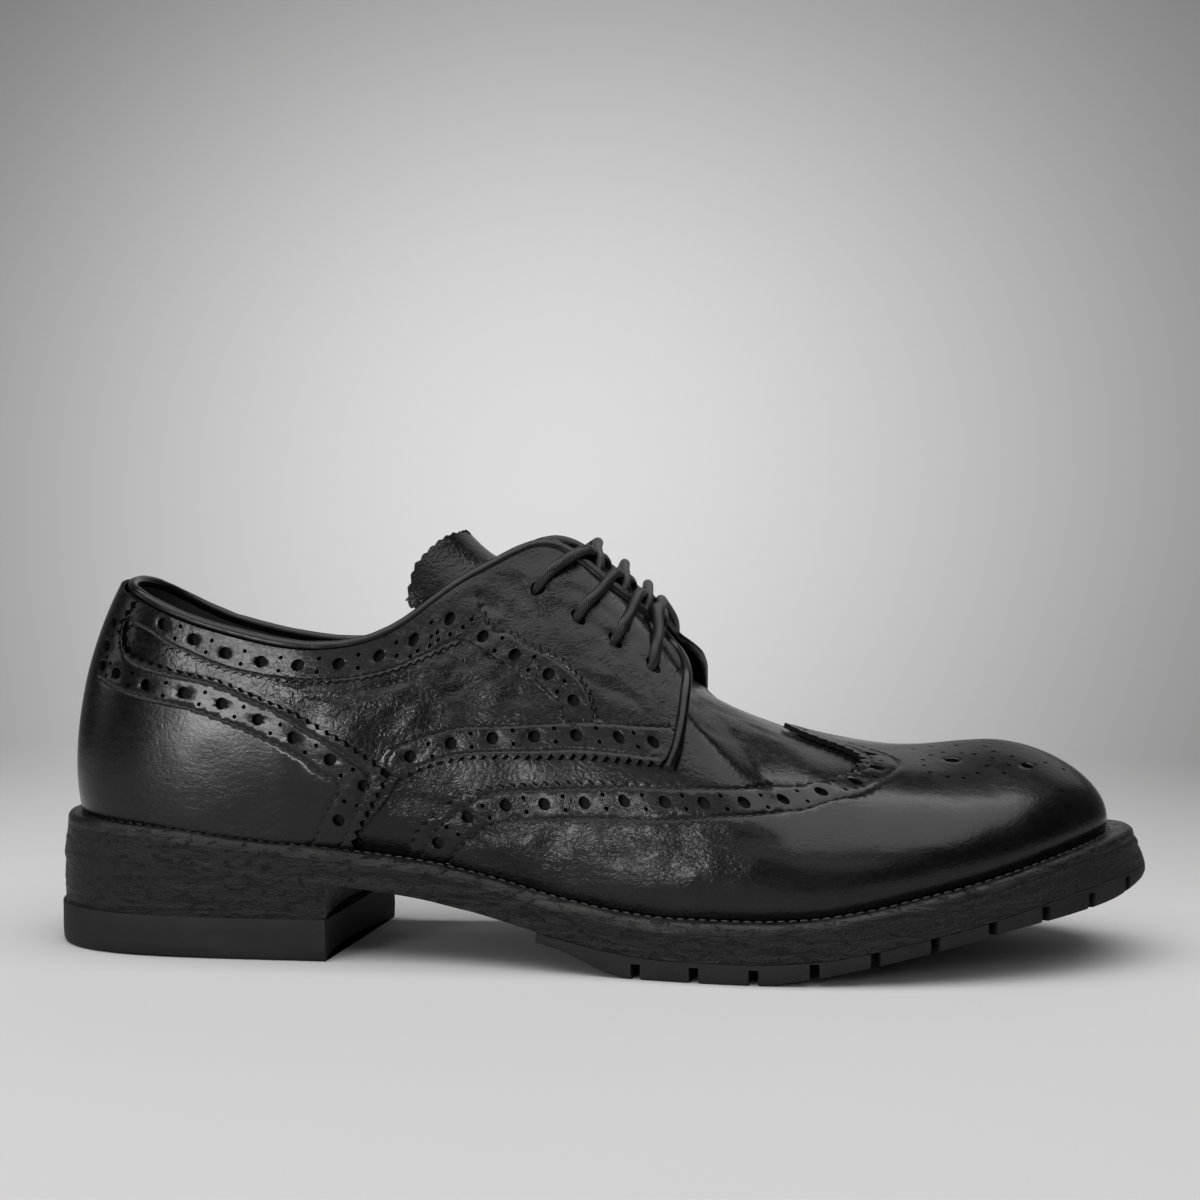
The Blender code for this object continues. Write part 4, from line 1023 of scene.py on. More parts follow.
def row_of_holes(centres, spread=.00185):
    """Large holes, with a pair of small ones across the line between each two."""
    big = unroll(centres)
    holes = [(p, BIG_HOLE) for p in big]
    for a, b in zip(big, big[1:]):
        middle, along = (a + b) / 2, b - a
        across = np.array([-along[1], along[0]]) / np.linalg.norm(along)
        unit = np.linalg.norm(across * stretch(middle))
        holes += [(middle + across * spread / unit * k, SMALL_HOLE) for k in (-1, 1)]
    return holes


def rails_beside(line, gaps=(-.00045, 0, .00045), pitch=.0009):
    points, side = walk(line, pitch)
    return [points + side * gap for gap in gaps]


print("large holes on one side:", len(WING_HOLES + COUNTER_HOLES + COLLAR_HOLES + INSTEP_HOLES + BAND_HOLES))

# %% [markdown]
# ## The wing cap
# The wing cap is one leather that covers the toe and runs back along both sides in two wings. Its rear edge
# is cut with pinking shears. It is meshed for one side and laid on both, joined down the middle of the toe.

# %% Wing cap
WING_LINE = [(.709, 1.0), (.7125, .955), (.728, .88), (.733, .80), (.729, .745), (.713, .672), (.692, .592),
             (.664, .525)] + WING_EDGE[6:]
wing_teeth = pinked(WING_LINE[:-1] + [(.396, .012)], outwards=1)
wing_outline = np.concatenate([unroll([(.396, 0), (1, 0), (1, 1), (.709, 1)]), wing_teeth[1:-1]])
wing_holes = row_of_holes(WING_HOLES)
wing_holes += [(p, BIG_HOLE * (1.0 if k == 0 else .9)) for k, p in enumerate(unroll(MEDALLION_BIG))]
wing_holes += [(p, SMALL_HOLE) for p in unroll(MEDALLION_SMALL)]
wing_rails = rails_beside(WING_HIGH_STITCH) + rails_beside(WING_LOW_STITCH)
wing_grooves = [walk(WING_HIGH_STITCH, .0012)[0], walk(WING_LOW_STITCH, .0012)[0]]
wing_pattern = cut_pattern(wing_outline, .0017, wing_holes, wing_rails)
wing = lay("wing_cap_skin", wing_pattern, (-1, 1), -LEATHER, .0003, [TOE_CALF, CUT_EDGE], wing_holes,
           wing_grooves)
dress(wing, "polished_leather", "wing_cap")

# %% [markdown]
# ## The quarters
# A quarter is the rear side of a derby shoe. It ends in the facing that carries the eyelets, and its lower
# edge is pinked. Three perforated bands stand a little proud of it: under the collar, down the instep and
# along the lower edge. They are raised out of the same mesh, so their edges stay soft like skived leather.

# %% Quarters
band_pink = pinked([(.390, .352), (.402, .388), (.415, .408), (.427, .417), (.446, .420), (.478, .422),
                    (.509, .430),
                    (.534, .450), (.553, .463)], outwards=-1)
quarter_outline = np.concatenate([unroll([(.25, 0), (.25, .66), (.10, .76), (.085, .86), (.09, 1)]),
                                  unroll([(t, 1) for t in np.linspace(.12, .60, 60)]),
                                  walk([(.600, 1), (.594, .86), (.583, .72), (.566, .56), (.553, .463)],
                                       .0015)[0][1:-1],
                                  band_pink[::-1], unroll([(.378, .22), (.366, .10), (.355, 0)])])
def beside(shares, gap):
    points, side = walk(shares, .003)
    return [tuple(p) for p in roll_up(points + side * gap)]


collar_teeth = pinked(beside(COLLAR_STITCH, -.0016), .0025, .0012)
instep_teeth = pinked(beside(INSTEP_OUT[1:], .0012), .0024, .0009)
upper_teeth = pinked(beside(BAND_STITCH, .0012), .0024, .0009)
inner_teeth = [collar_teeth, instep_teeth, upper_teeth]
collar_run = ([(.09, .93), (.09, 1.01)] + [(t, 1.01) for t in np.linspace(.10, .447, 20)]
              + [(.447, .88), (.445, .81)])
band_planes = [np.concatenate([collar_teeth[::-1], unroll(collar_run)]),
               np.concatenate([instep_teeth, unroll(INSTEP_IN[::-1])]),
               np.concatenate([upper_teeth, unroll([(.570, .50), (.556, .44), (.509, .40), (.446, .39),
                                                    (.415, .38), (.390, .33),
                                                    (.380, .40)])])]
quarter_holes = row_of_holes(COLLAR_HOLES) + row_of_holes(INSTEP_HOLES) + row_of_holes(BAND_HOLES)
quarter_holes += [(p, SMALL_HOLE) for p in unroll(FAN_HOLES)]
quarter_holes += [(p, EYELET) for p in unroll(LACE_HOLES)]
quarter_lines = [COLLAR_STITCH, INSTEP_OUT[1:], INSTEP_IN, BAND_STITCH, BAND_LOW_STITCH]
quarter_rails = [r for line in quarter_lines for r in rails_beside(line, (-.0010, -.00045, 0, .00045, .0010))]
quarter_grooves = [walk(line, .0012)[0] for line in quarter_lines]
for teeth in inner_teeth:
    fine = np.concatenate([a[None] + (b - a)[None] * np.linspace(0, 1, 4)[:-1, None]
                           for a, b in zip(teeth, teeth[1:])])
    turn = np.gradient(fine, axis=0)
    turn = np.stack([-turn[:, 1], turn[:, 0]], -1) / np.linalg.norm(turn, axis=1, keepdims=True)
    quarter_rails += [fine + turn * gap for gap in (-.0002, .0002)]
counter_cover = np.concatenate([unroll([(0, 0), (0, 1)] + COUNTER_EDGE), unroll([(.360, 0)])])


def quarter_face(plane, u, w):
    """Outer face of the quarter, higher within the perforated bands."""
    rise = np.zeros(len(plane))
    for band in band_planes:
        loop = np.concatenate([a[None] + (b - a)[None] * np.linspace(0, 1, 30)[:-1, None]
                               for a, b in zip(band, np.roll(band, -1, axis=0))])
        away = nearest(plane, [loop])
        rise = np.maximum(rise, np.where(inside_many(plane, band), ease(.5 + away / .0004),
                                         ease(.5 - away / .0004)))
    return BAND_RISE * rise - .0006 * under_counter(plane)


def under_counter(plane):
    """One where the counter hides the quarter, with a soft border."""
    border = nearest(plane, [np.concatenate([counter_cover, counter_cover[:1]])])
    return inside_many(plane, counter_cover) * ease((border - .0005) / .002)


quarter_pattern = cut_pattern(quarter_outline, .0014, quarter_holes, quarter_rails)
# under_counter also marks where the quarter is painted dark and matt as shade under the counter's holes.
for name, side in (("quarter_lateral", -1), ("quarter_medial", 1)):
    quarter = lay(name + "_skin", quarter_pattern, (side,), -LEATHER, quarter_face, [CALF, CUT_EDGE],
                  quarter_holes, quarter_grooves,
                  flap_lift, 48, under_counter)
    dress(quarter, "polished_leather", name)

# %% [markdown]
# ## The counter
# The counter is the outside leather round the heel. It lies over both quarters, so it is laid a little
# higher, and it is stiff and glossy because the heel stiffener is under it.

# %% Counter
COUNTER_LOW, COUNTER_HIGH = .0005, .0017
counter_teeth = pinked(COUNTER_EDGE, outwards=-1)
counter_outline = np.concatenate([unroll([(0, 0), (0, 1)]), counter_teeth[:-1], unroll([(.360, 0)])])
counter_holes = row_of_holes(COUNTER_HOLES)
counter_rails = rails_beside(COUNTER_HIGH_STITCH) + rails_beside(COUNTER_LOW_STITCH)
counter_grooves = [walk(COUNTER_HIGH_STITCH, .0012)[0], walk(COUNTER_LOW_STITCH, .0012)[0]]
counter_pattern = cut_pattern(counter_outline, .0017, counter_holes, counter_rails)
counter = lay("counter_skin", counter_pattern, (-1, 1), COUNTER_LOW, COUNTER_HIGH, [TOE_CALF, CUT_EDGE],
              counter_holes,
              counter_grooves)
dress(counter, "polished_leather", "counter")

# %% [markdown]
# ## The vamp and its lining
# The vamp lies under everything else, and with its lining it makes the hollow of the shoe. It is a plain
# grid of the two shares, laid at two heights. Where another leather hides it, an attribute paints it dark
# and matt as shade, so that the punched holes look deep.

# %% Vamp
VAMP_FACE, LINING_FACE = -LEATHER - .0005, -LEATHER - .00025 - WALL


def build_vamp():
    t = np.unique(np.concatenate([np.linspace(0, .36, 70), np.linspace(.36, THROAT_END, 110),
                                  np.linspace(THROAT_END, 1, 80)]))
    w = np.concatenate([[0, .02], np.linspace(.05, .97, 56), [.985, 1.0]])
    T, W = np.meshgrid(t, w, indexing="ij")
    flat = unroll(np.stack([T, W], -1)).reshape(-1, 2)
    # Painted shade: one under the wing, quarters and counter, rising from nothing at their edges over 1.2 mm.
    hidden = np.zeros(len(flat))
    for cover in (wing_outline, quarter_outline, counter_outline):
        closed = [np.concatenate([cover, cover[:1]])]
        hidden = np.maximum(hidden, inside_many(flat, cover) * np.clip(nearest(flat, closed) / .0012, 0, 1))
    index, points, painted_shade_under, crumple, faces, inner_faces = {}, [], [], [], [], []
    sheets = {}
    for side in (-1, 1):
        shape = relief(side * T, W)
        for layer, height in ((0, VAMP_FACE), (1, LINING_FACE)):
            sheets[layer, side] = leather(side * T, W, height + shape * (1 - .6 * layer))
    rough = {side: crumple_at(side * T, W) for side in (-1, 1)}
    rows, last_t = len(w) - 1, len(t) - 1
    def vertex(layer, side, i, j):
        ridge = j == rows and t[i] >= THROAT_END - 1e-9
        if i in (0, last_t) or ridge:
            side = 1
        key = (layer, side, i, j)
        if key not in index:
            p = sheets[layer, side][i, j]
            if i in (0, last_t) or ridge:
                p = .5 * (p + sheets[layer, -side][i, j])
            index[key] = len(points)
            points.append(p)
            painted_shade_under.append(hidden.reshape(T.shape)[i, j])
            crumple.append(rough[side][i, j])
        return index[key]
    for layer in (0, 1):
        for side in (-1, 1):
            for i in range(last_t):
                for j in range(rows):
                    if layer:
                        inner_faces.append(len(faces))
                    faces.append([vertex(layer, side, i, j), vertex(layer, side, i + 1, j),
                                  vertex(layer, side, i + 1, j + 1), vertex(layer, side, i, j + 1)])
    for side in (-1, 1):
        for i in range(last_t):
            ends = [0] + ([rows] if t[i + 1] <= THROAT_END + 1e-9 else [])
            faces += [[vertex(0, side, i, j), vertex(0, side, i + 1, j), vertex(1, side, i + 1, j),
                       vertex(1, side, i, j)]
                      for j in ends]
    inner = set(inner_faces)
    clean, second = [], []
    for k, f in enumerate(faces):
        f = tuple(dict.fromkeys(f))
        if len(f) > 2:
            if k in inner:
                second.append(len(clean))
            clean.append(f)
    return piece("vamp_skin", points, clean, [CALF, LINING_SKIN], 50, 1e-6,
                 {"painted_shade_under": painted_shade_under, "crumple": crumple}, second)


dress(build_vamp(), "polished_leather", "upper")

# %% [markdown]
# ## Round pieces along a path
# The rolled edge and the laces are tubes that follow a path. The tube carries its own UV map, with one
# direction round it and one along it, so that a twist or a weave follows the cord.

# %% Tube helper
def along_path(keys, spacing):
    """A smooth run of points through key points, an even distance apart."""
    keys = np.asarray(keys, float)
    gap = np.concatenate([[0], np.cumsum(np.linalg.norm(np.diff(keys, axis=0), axis=1))])
    at = np.linspace(0, gap[-1], max(8, int(gap[-1] / spacing)))
    return np.stack([smooth(at, gap, keys[:, k]) for k in range(3)], -1)


def round_piece(name, path, radius, material, sides=14, flat=1.0, waver=0.0):
    path = np.asarray(path)
    tangent = np.gradient(path, axis=0)
    tangent /= np.linalg.norm(tangent, axis=1, keepdims=True)
    normal = np.cross(tangent[0], [.3, .2, 1.0])
    rings = []
    angle = np.arange(sides) / sides * 2 * math.pi
    for p, d in zip(path, tangent):
        normal = normal - d * np.dot(normal, d)
        normal /= np.linalg.norm(normal)
        other = np.cross(d, normal)
        size = radius * (1 + waver * noise.noise(Vector(p) * 220))
        rings.append(p + size * (np.cos(angle)[:, None] * normal + flat * np.sin(angle)[:, None] * other))
    count = len(path)
    faces = [(i * sides + k, i * sides + (k + 1) % sides, (i + 1) * sides + (k + 1) % sides,
              (i + 1) * sides + k)
             for i in range(count - 1) for k in range(sides)]
    faces += [tuple(range(sides)), tuple(range((count - 1) * sides, count * sides))[::-1]]
    made = piece(name, np.concatenate(rings), faces, [material], 60)
    run = (np.concatenate([[0], np.cumsum(np.linalg.norm(np.diff(path, axis=0), axis=1))])
           / (2 * math.pi * radius))
    layer = made.data.uv_layers.new(name="run").data
    for polygon in made.data.polygons:
        around_, along = [], []
        for loop in polygon.loop_indices:
            vertex = made.data.loops[loop].vertex_index
            around_.append((vertex % sides) / sides)
            along.append(run[min(vertex // sides, count - 1)])
        wrap = max(around_) - min(around_) > .5
        for loop, a, b in zip(polygon.loop_indices, around_, along):
            layer[loop].uv = (a + 1 if wrap and a < .5 else a, b)
    return made


print("tube helper ready")

# %% [markdown]
# ## The rolled edge
# A strip of calf is rolled over the top of the quarters and down the front of each facing. It is one tube
# that starts at the foot of the outer facing, goes round the collar, and ends at the foot of the inner one.

# %% Rolled edge
def edge_path():
    front = [(.600, 1), (.5985, .95), (.594, .86), (.589, .79), (.583, .72), (.575, .64), (.566, .56),
             (.559, .50), (.553, .458)][::-1]
    half = front + [(t, 1.0) for t in np.concatenate([np.linspace(.590, .40, 60),
                                                      np.linspace(.395, .01, 70)])]
    runs = []
    for side in (-1, 1):
        line = []
        for i, (t, w) in enumerate(half):
            step, u = 1e-3, side * t
            up = last(u, min(w, .999)) - last(u, min(w, .999) - step)
            forward = last(side * (t + step), w) - last(side * t, w)
            up, forward = up / np.linalg.norm(up), forward / np.linalg.norm(forward)
            away = up + forward if i == len(front) - 1 else up if w >= 1 else forward
            away = away / np.linalg.norm(away)
            height = float(flap_lift(u, w)) - (LEATHER + WALL) / 2 * (1 - ease((t - .45) / .1)) + .0002
            line.append(leather(u, w, height) + away * BINDING * .42)
        runs.append(line)
    keys = np.array(runs[0] + runs[1][::-1])
    gap = np.concatenate([[0], np.cumsum(np.linalg.norm(np.diff(keys, axis=0), axis=1))])
    at = np.linspace(0, gap[-1], int(gap[-1] / .0013))
    even = np.stack([np.interp(at, gap, keys[:, k]) for k in range(3)], -1)
    for _ in range(4):
        even[1:-1] = .25 * even[:-2] + .5 * even[1:-1] + .25 * even[2:]
    return even


binding = round_piece("rolled_edge", edge_path(), BINDING / 2, PIPING, 14, .92, .10)
dress(binding, "polished_leather", "collar_binding")

# %% [markdown]
# ## The tongue
# The tongue is a soft leather shield that bends round the instep. Its border is pinked, and the stitching
# along it isn't made here. It is a grid round a curved middle line, with a thickness, and its rim is pushed
# in and out to make the teeth.

# %% Tongue
def tongue_grid(rows=120, columns=90, wall=0.0, inset=0.0):
    line = np.asarray(TONGUE_LINE) * np.array([LENGTH, INSTEP_HEIGHT])
    gap = np.concatenate([[0], np.cumsum(np.linalg.norm(np.diff(line, axis=0), axis=1))])
    share = np.linspace(0, 1, rows)
    sweep = np.linspace(-1, 1, columns)
    S, Q = np.meshgrid(share, sweep, indexing="ij")
    S, Q = S.copy(), Q.copy()
    tooth = .0009 * (np.abs(((np.arange(rows) / rows * 34) % 1) * 2 - 1) - .5)
    rim = np.exp(-(1 - np.abs(Q)) / .02)
    full_sweep = math.radians(TONGUE_SWEEP)
    Q = Q * (1 + rim * (tooth[:, None] / (TONGUE_RADIUS * full_sweep)))
    tip_tooth = .0009 * (np.abs(((np.arange(columns) / columns * 22) % 1) * 2 - 1) - .5)
    corner = (.0032 * (1 - np.abs(Q)) - .0030 * np.sin(math.pi * np.abs(Q) ** .8)
              + .016 * np.clip(np.abs(Q) - .75, 0, 1))
    S = S * (1 + (tip_tooth[None, :] * np.exp(-(1 - S) / .02) - corner * ease((S - .6) / .4)) / gap[-1])
    S, Q = S * (1 - inset / gap[-1]), Q * (1 - inset / (TONGUE_RADIUS * full_sweep))
    at = S * gap[-1]
    centre = np.stack([smooth(at, gap, line[:, 0]), smooth(at, gap, line[:, 1])], -1)
    step = 2e-4
    ahead = np.stack([smooth(at + step, gap, line[:, 0]), smooth(at + step, gap, line[:, 1])], -1)
    tangent = (ahead - centre) / np.linalg.norm(ahead - centre, axis=-1, keepdims=True)
    phi = Q * full_sweep * (.42 + .58 * ease(S / .75)) * (1 + .24 * ease((S - .62) / .2))
    full = TONGUE_RADIUS * (1 + .24 * ease((S - .55) / .35))
    buckle = .0004 * np.sin(S * 19) * np.cos(Q * 2.3) * ease((S - .5) / .3)
    radius = full - wall + buckle
    drop = full - radius * np.cos(phi)
    normal = np.stack([tangent[..., 1], -tangent[..., 0]], -1)
    return np.stack([centre[..., 0] - normal[..., 0] * drop, radius * np.sin(phi),
                     centre[..., 1] - normal[..., 1] * drop], -1)


def build_tongue():
    face, back = tongue_grid(), tongue_grid(wall=TONGUE_WALL)
    m, n = face.shape[:2]
    faces = [(b + i * n + j, b + i * n + j + 1, b + (i + 1) * n + j + 1, b + (i + 1) * n + j)
             for b in (0, m * n) for i in range(m - 1) for j in range(n - 1)]
    border = ([(0, j) for j in range(n)] + [(i, n - 1) for i in range(1, m)]
              + [(m - 1, j) for j in range(n - 2, -1, -1)] + [(i, 0) for i in range(m - 2, 0, -1)])
    ids = [i * n + j for i, j in border]
    faces += [(a, b, b + m * n, a + m * n) for a, b in zip(ids, ids[1:] + ids[:1])]
    points = np.concatenate([face.reshape(-1, 3), back.reshape(-1, 3)])
    return piece("tongue_skin", points, faces, [CALF], 50, 1e-7, {"crumple": np.full(len(points), .25)})


dress(build_tongue(), "lining", "tongue")

# %% [markdown]
# ## The laces
# On the real shoe one lace runs through all eight eyelets. Eight separate strands stand for it here. Each
# starts inside an eyelet, lies over its facing, rises over the rolled edge and crosses the tongue to fall
# behind the other facing, and it ends tucked under there. The hidden run to the next eyelet isn't made.

# %% Laces
LACE_ROUND = .0031
# Row: how far forward the strand passes the edge, share, and how high its loop stands, millimetres
LACE_ROWS = [(.036, 3.2), (.032, 3.0), (.026, 2.8), (.012, 3.0)]


def lace_strand(row, side):
    t, w = LACE_HOLES[row]
    reach, stand = LACE_ROWS[row]
    radius = LACE_ROUND / 2
    cross, dive = t + reach, t + 1.35 * reach
    def on_flap(station, height, clear):
        u = side * station
        return leather(u, height, float(flap_lift(u, height)) + clear)
    inside_point = on_flap(t - .06 * reach, w - .008, -.0042)
    mouth = on_flap(t, w, -.0002)
    start = on_flap(t + .12 * reach, w + .12 * (1 - w), radius + .0001)
    half = on_flap(t + .58 * reach, w + .58 * (1 - w), radius + .0007)
    rim = on_flap(cross, 1.0, radius) + np.array([0, 0, BINDING * .8])
    u = -side * dive
    far = (leather(u, 1.0, float(flap_lift(u, 1.0)))
           + np.array([0, side * (radius + BINDING / 2 + 3 * GAP), -.0002]))
    middle = .5 * (rim + far) + np.array([0, 0, stand * 1e-3 * .55 + (.0022 if side > 0 else 0)])
    drop = far + np.array([-.001, side * .0002, -.0048])
    tucked = [leather(u, height, float(flap_lift(u, height)) - .0050) for height in (.955, .91)]
    return [inside_point, mouth, start, half, rim, middle, far, drop] + tucked


for row in range(len(LACE_HOLES)):
    strands = []
    for side in (-1, 1):
        strand = round_piece("strand_%d_%s" % (row + 1, "outer" if side < 0 else "inner"),
                             along_path(lace_strand(row, side), .0007), LACE_ROUND / 2,
                             LACE_CORD, 12, .95, .05)
        strands.append(strand)
    dress(strands[0], "cord", "lace_row_%d" % (row + 1))
    dress(strands[1], "cord")

# %% [markdown]
# ## The sole, layer by layer
# Welt, midsole, heel and tread are rings of points on the shoe's outline at different heights, joined like
# the hoops of a barrel. A little noise on the side faces gives the rasped, hand-inked look of a real sole
# edge.

# %% Sole helper
def rings_piece(name, rings, material, closed=False, rough=0.0, sharp=38, keep_flat=()):
    """A solid through rings of equal length; rough moves side points in plan, along the noise."""
    n = len(rings[0])
    points = np.concatenate(rings)
    if rough:
        for k, p in enumerate(points):
            if k // n in keep_flat:
                continue
            q = Vector((p[0] * 60, p[1] * 60, p[2] * 330))
            move = noise.noise(q) + .6 * noise.noise(q * 3.1)
            points[k, :2] += (rough * move * (p[:2] - [LENGTH * .45, 0])
                              / np.linalg.norm(p[:2] - [LENGTH * .45, 0]))
            points[k, 2] += rough * .35 * noise.noise(q * 1.7 + Vector((5, 3, 1)))
    faces = []
    for k in range(len(rings) if closed else len(rings) - 1):
        a, b = k * n, ((k + 1) % len(rings)) * n
        faces += [(a + i, a + (i + 1) % n, b + (i + 1) % n, b + i) for i in range(n)]
    if not closed:
        for base, flip in ((0, False), ((len(rings) - 1) * n, True)):
            for i in range(n // 2):
                j = n - 1 - i
                if j - i < 2:
                    break
                quad = (base + i, base + i + 1, base + j - 1, base + j)
                quad = tuple(dict.fromkeys(quad))
                faces.append(quad[::-1] if flip else quad)
    return piece(name, points, faces, [material], sharp)


def level(plan, height):
    return np.concatenate([plan, np.broadcast_to(height(plan[:, 0]), plan.shape[:1])[:, None]], -1)


def toe_draw_in(u):
    return FLARE * ease((np.abs(u) - .55) / .4)


print("sole helper ready")

# %% [markdown]
# ## Welt and midsole
# The welt is the strip that the upper is sewn to. Its top slopes to a rounded lip and is a shade paler
# where the polish has worn. The midsole under it has a flat, rasped side.

# %% Welt and midsole
around_count = 520
ring_u = (np.arange(around_count) + .5) / around_count * 2 - 1
ring_margin = BALL_WIDTH * around(ring_u, WELT_MARGIN, 1, 1)
ring_inner = ring_margin + WALL + LEATHER + GAP + SEAT
ring_lean = toe_draw_in(ring_u)


def welt_ring(inset, fall):
    return level(outline(ring_u, inset), lambda x: welt_top(x) - fall)


lip = EDGE_ROUND
welt_rings = [welt_ring(ring_inner, .0004), welt_ring(ring_margin + .0006, .0006),
              welt_ring(ring_margin - .0006, .0004),
              welt_ring(.62 * ring_margin + .3 * lip + ring_lean, 0.0),
              welt_ring(1.05 * lip + ring_lean, .0000),
              welt_ring(.62 * lip + ring_lean, .00020), welt_ring(.28 * lip + ring_lean, .00062),
              welt_ring(.06 * lip + .97 * ring_lean, .00125), welt_ring(.95 * ring_lean, .0019),
              welt_ring(.90 * ring_lean, WELT), welt_ring(ring_inner, WELT)]
dress(rings_piece("welt_strip", welt_rings, WELT_EDGE, True, .00030, 60), "sole_leather", "welt")
heel_zone = STACK_PROUD * (1 - ease((np.abs(ring_u) - station_at(HEEL_LENGTH)) / .06))

mid_rings = [level(outline(ring_u, .9 * ring_lean), lambda x: welt_top(x) - WELT - .00005)]
for share in (.04, .13, .22, .31, .4, .5, .6, .7, .8, .9, 1.0):
    mid_rings.append(level(outline(ring_u, (.85 - .85 * share) * ring_lean - share * heel_zone),
                           lambda x, share=share:
                           (1 - share) * (welt_top(x) - WELT - .00005) + share * midsole_bottom(x)))
dress(rings_piece("midsole_layer", mid_rings, SOLE_EDGE, False, .00038, 50), "sole_leather", "midsole")

# %% [markdown]
# ## The heel
# The heel is a stack of leather lifts under the seat, with a rubber top piece that meets the floor. Its
# front face is hollowed. The rings here follow the outline round the back and close across the hollow.

# %% Heel
def heel_ring(inset, height, count=110, breast_count=24):
    u = np.linspace(-station_at(HEEL_LENGTH), station_at(HEEL_LENGTH + HEEL_SKEW), 2 * count)
    side = outline(u, inset)
    a, b = side[-1], side[0]
    s = np.linspace(0, 1, breast_count + 2)[1:-1, None]
    breast = a + (b - a) * s
    breast[:, 0] -= BREAST_HOLLOW * 4 * (s * (1 - s))[:, 0]
    half = len(breast) // 2
    plan = np.concatenate([breast[half:], side, breast[:half]])
    return level(plan, height)


def stack_height(share):
    return lambda x: share * (midsole_bottom(x) - .00005) + (1 - share) * (TOP_PIECE + .00005)


stack_rings = [heel_ring(-STACK_PROUD, stack_height(share)) for share in np.linspace(1, 0, 15)]
dress(rings_piece("heel_lifts", stack_rings, SOLE_EDGE, False, .00038, 45), "sole_leather", "heel_stack")
top_rings = [heel_ring(-TOP_PIECE_PROUD + inset, lambda x, z=z: z + 0 * x) for inset, z in
             ((.0002, TOP_PIECE), (0, TOP_PIECE - .0003), (0, .0075), (0, .004), (.0001, .0012),
              (.0005, .0004), (.0012, 0))]
dress(rings_piece("heel_top_lift", top_rings, RUBBER_SKIN, False, .00012, 45, (6,)), "rubber",
      "heel_top_piece")

# %% [markdown]
# ## The half sole
# The rubber half sole tapers away towards the waist and has square grooves along its edge. The grooves are
# cut with a boolean, which is the simplest way to get crisp lugs.

# %% Half sole
def build_tread():
    front = np.linspace(station_at(TREAD_START * LENGTH), 1, 130)
    u = np.concatenate([-front[:-1], front[:-1][::-1]])
    def under(share):
        return lambda x: ((1 - share) * (midsole_bottom(x) - .0001)
                          + share * np.minimum(tread_bottom(x), midsole_bottom(x) - .0001 - TREAD / 2))
    rings = [level(outline(u, inset), under(share)) for inset, share in
             ((.0002, 0), (-.0002, .04), (-.0003, .35), (-.0003, .7), (0, .93), (EDGE_ROUND / 2, 1))]
    return rings_piece("half_sole", rings, RUBBER_SKIN, False, .00008, 40, (5,))


def lug_cutters():
    """Blocks for the side grooves."""
    points, faces = [], []
    def block(corners, low, high):
        base = len(points)
        points.extend([(*c, z) for z in (low, high) for c in corners])
        faces.extend([tuple(base + i for i in f) for f in
                      ((0, 3, 2, 1), (4, 5, 6, 7), (0, 1, 5, 4), (1, 2, 6, 5), (2, 3, 7, 6), (3, 0, 4, 7))])
    for side in (-1, 1):
        stations = side * np.linspace(station_at(NOTCH_START * LENGTH), 1, 400)
        run = np.concatenate([[0], np.cumsum(np.linalg.norm(np.diff(outline(stations), axis=0), axis=1))])
        for k in range(int(run[-1] / NOTCH_PITCH)):
            u = np.interp(k * NOTCH_PITCH, run, stations)
            edge, deep = outline(np.array([u]), -NOTCH_DEPTH)[0], outline(np.array([u]), NOTCH_DEPTH)[0]
            across = np.array([-(deep - edge)[1], (deep - edge)[0]])
            across *= NOTCH_WIDTH / 2 / np.linalg.norm(across)
            floor = float(tread_bottom(outline(np.array([u]))[0, 0]))
            block((edge + across, edge - across, deep - across, deep + across), floor - TREAD,
                  floor + NOTCH_HEIGHT)
    mesh = bpy.data.meshes.new("lug_cutters")
    mesh.from_pydata((np.array(points) - np.array([REST_BACK, 0, 0])).tolist(), [], faces)
    made = bpy.data.objects.new("lug_cutters", mesh)
    bpy.context.scene.collection.objects.link(made)
    bm = bmesh.new()
    bm.from_mesh(mesh)
    bmesh.ops.recalc_face_normals(bm, faces=bm.faces)
    bm.to_mesh(mesh)
    bm.free()
    return made


def cut_lugs(body):
    cutter = lug_cutters()
    cut = body.modifiers.new("grooves", "BOOLEAN")
    cut.operation, cut.solver, cut.object = "DIFFERENCE", "EXACT", cutter
    mesh = bpy.data.meshes.new_from_object(body.evaluated_get(bpy.context.evaluated_depsgraph_get()))
    body.modifiers.clear()
    body.data = mesh
    bpy.data.objects.remove(cutter)
    mesh.set_sharp_from_angle(angle=math.radians(35))
    return body


dress(cut_lugs(build_tread()), "rubber", "outsole_tread")

# %% [markdown]
# ## The insole
# The insole's plain solid already has the right shape inside the shoe, so it stays and only gets the
# lining's finish.

# %% Insole
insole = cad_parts["insole"]
insole.data.materials.clear()
insole.data.materials.append(LINING_SKIN)
print("insole keeps its", len(insole.data.polygons), "faces")

# %% [markdown]
# ## Stitches with Geometry Nodes
# Every row of stitching is the same small bead of thread repeated along a line, which is what Geometry
# Nodes do best. A curve on the leather's surface is cut into points, a stretched bead is set on each,
# turned along the curve, and the result becomes a plain mesh.

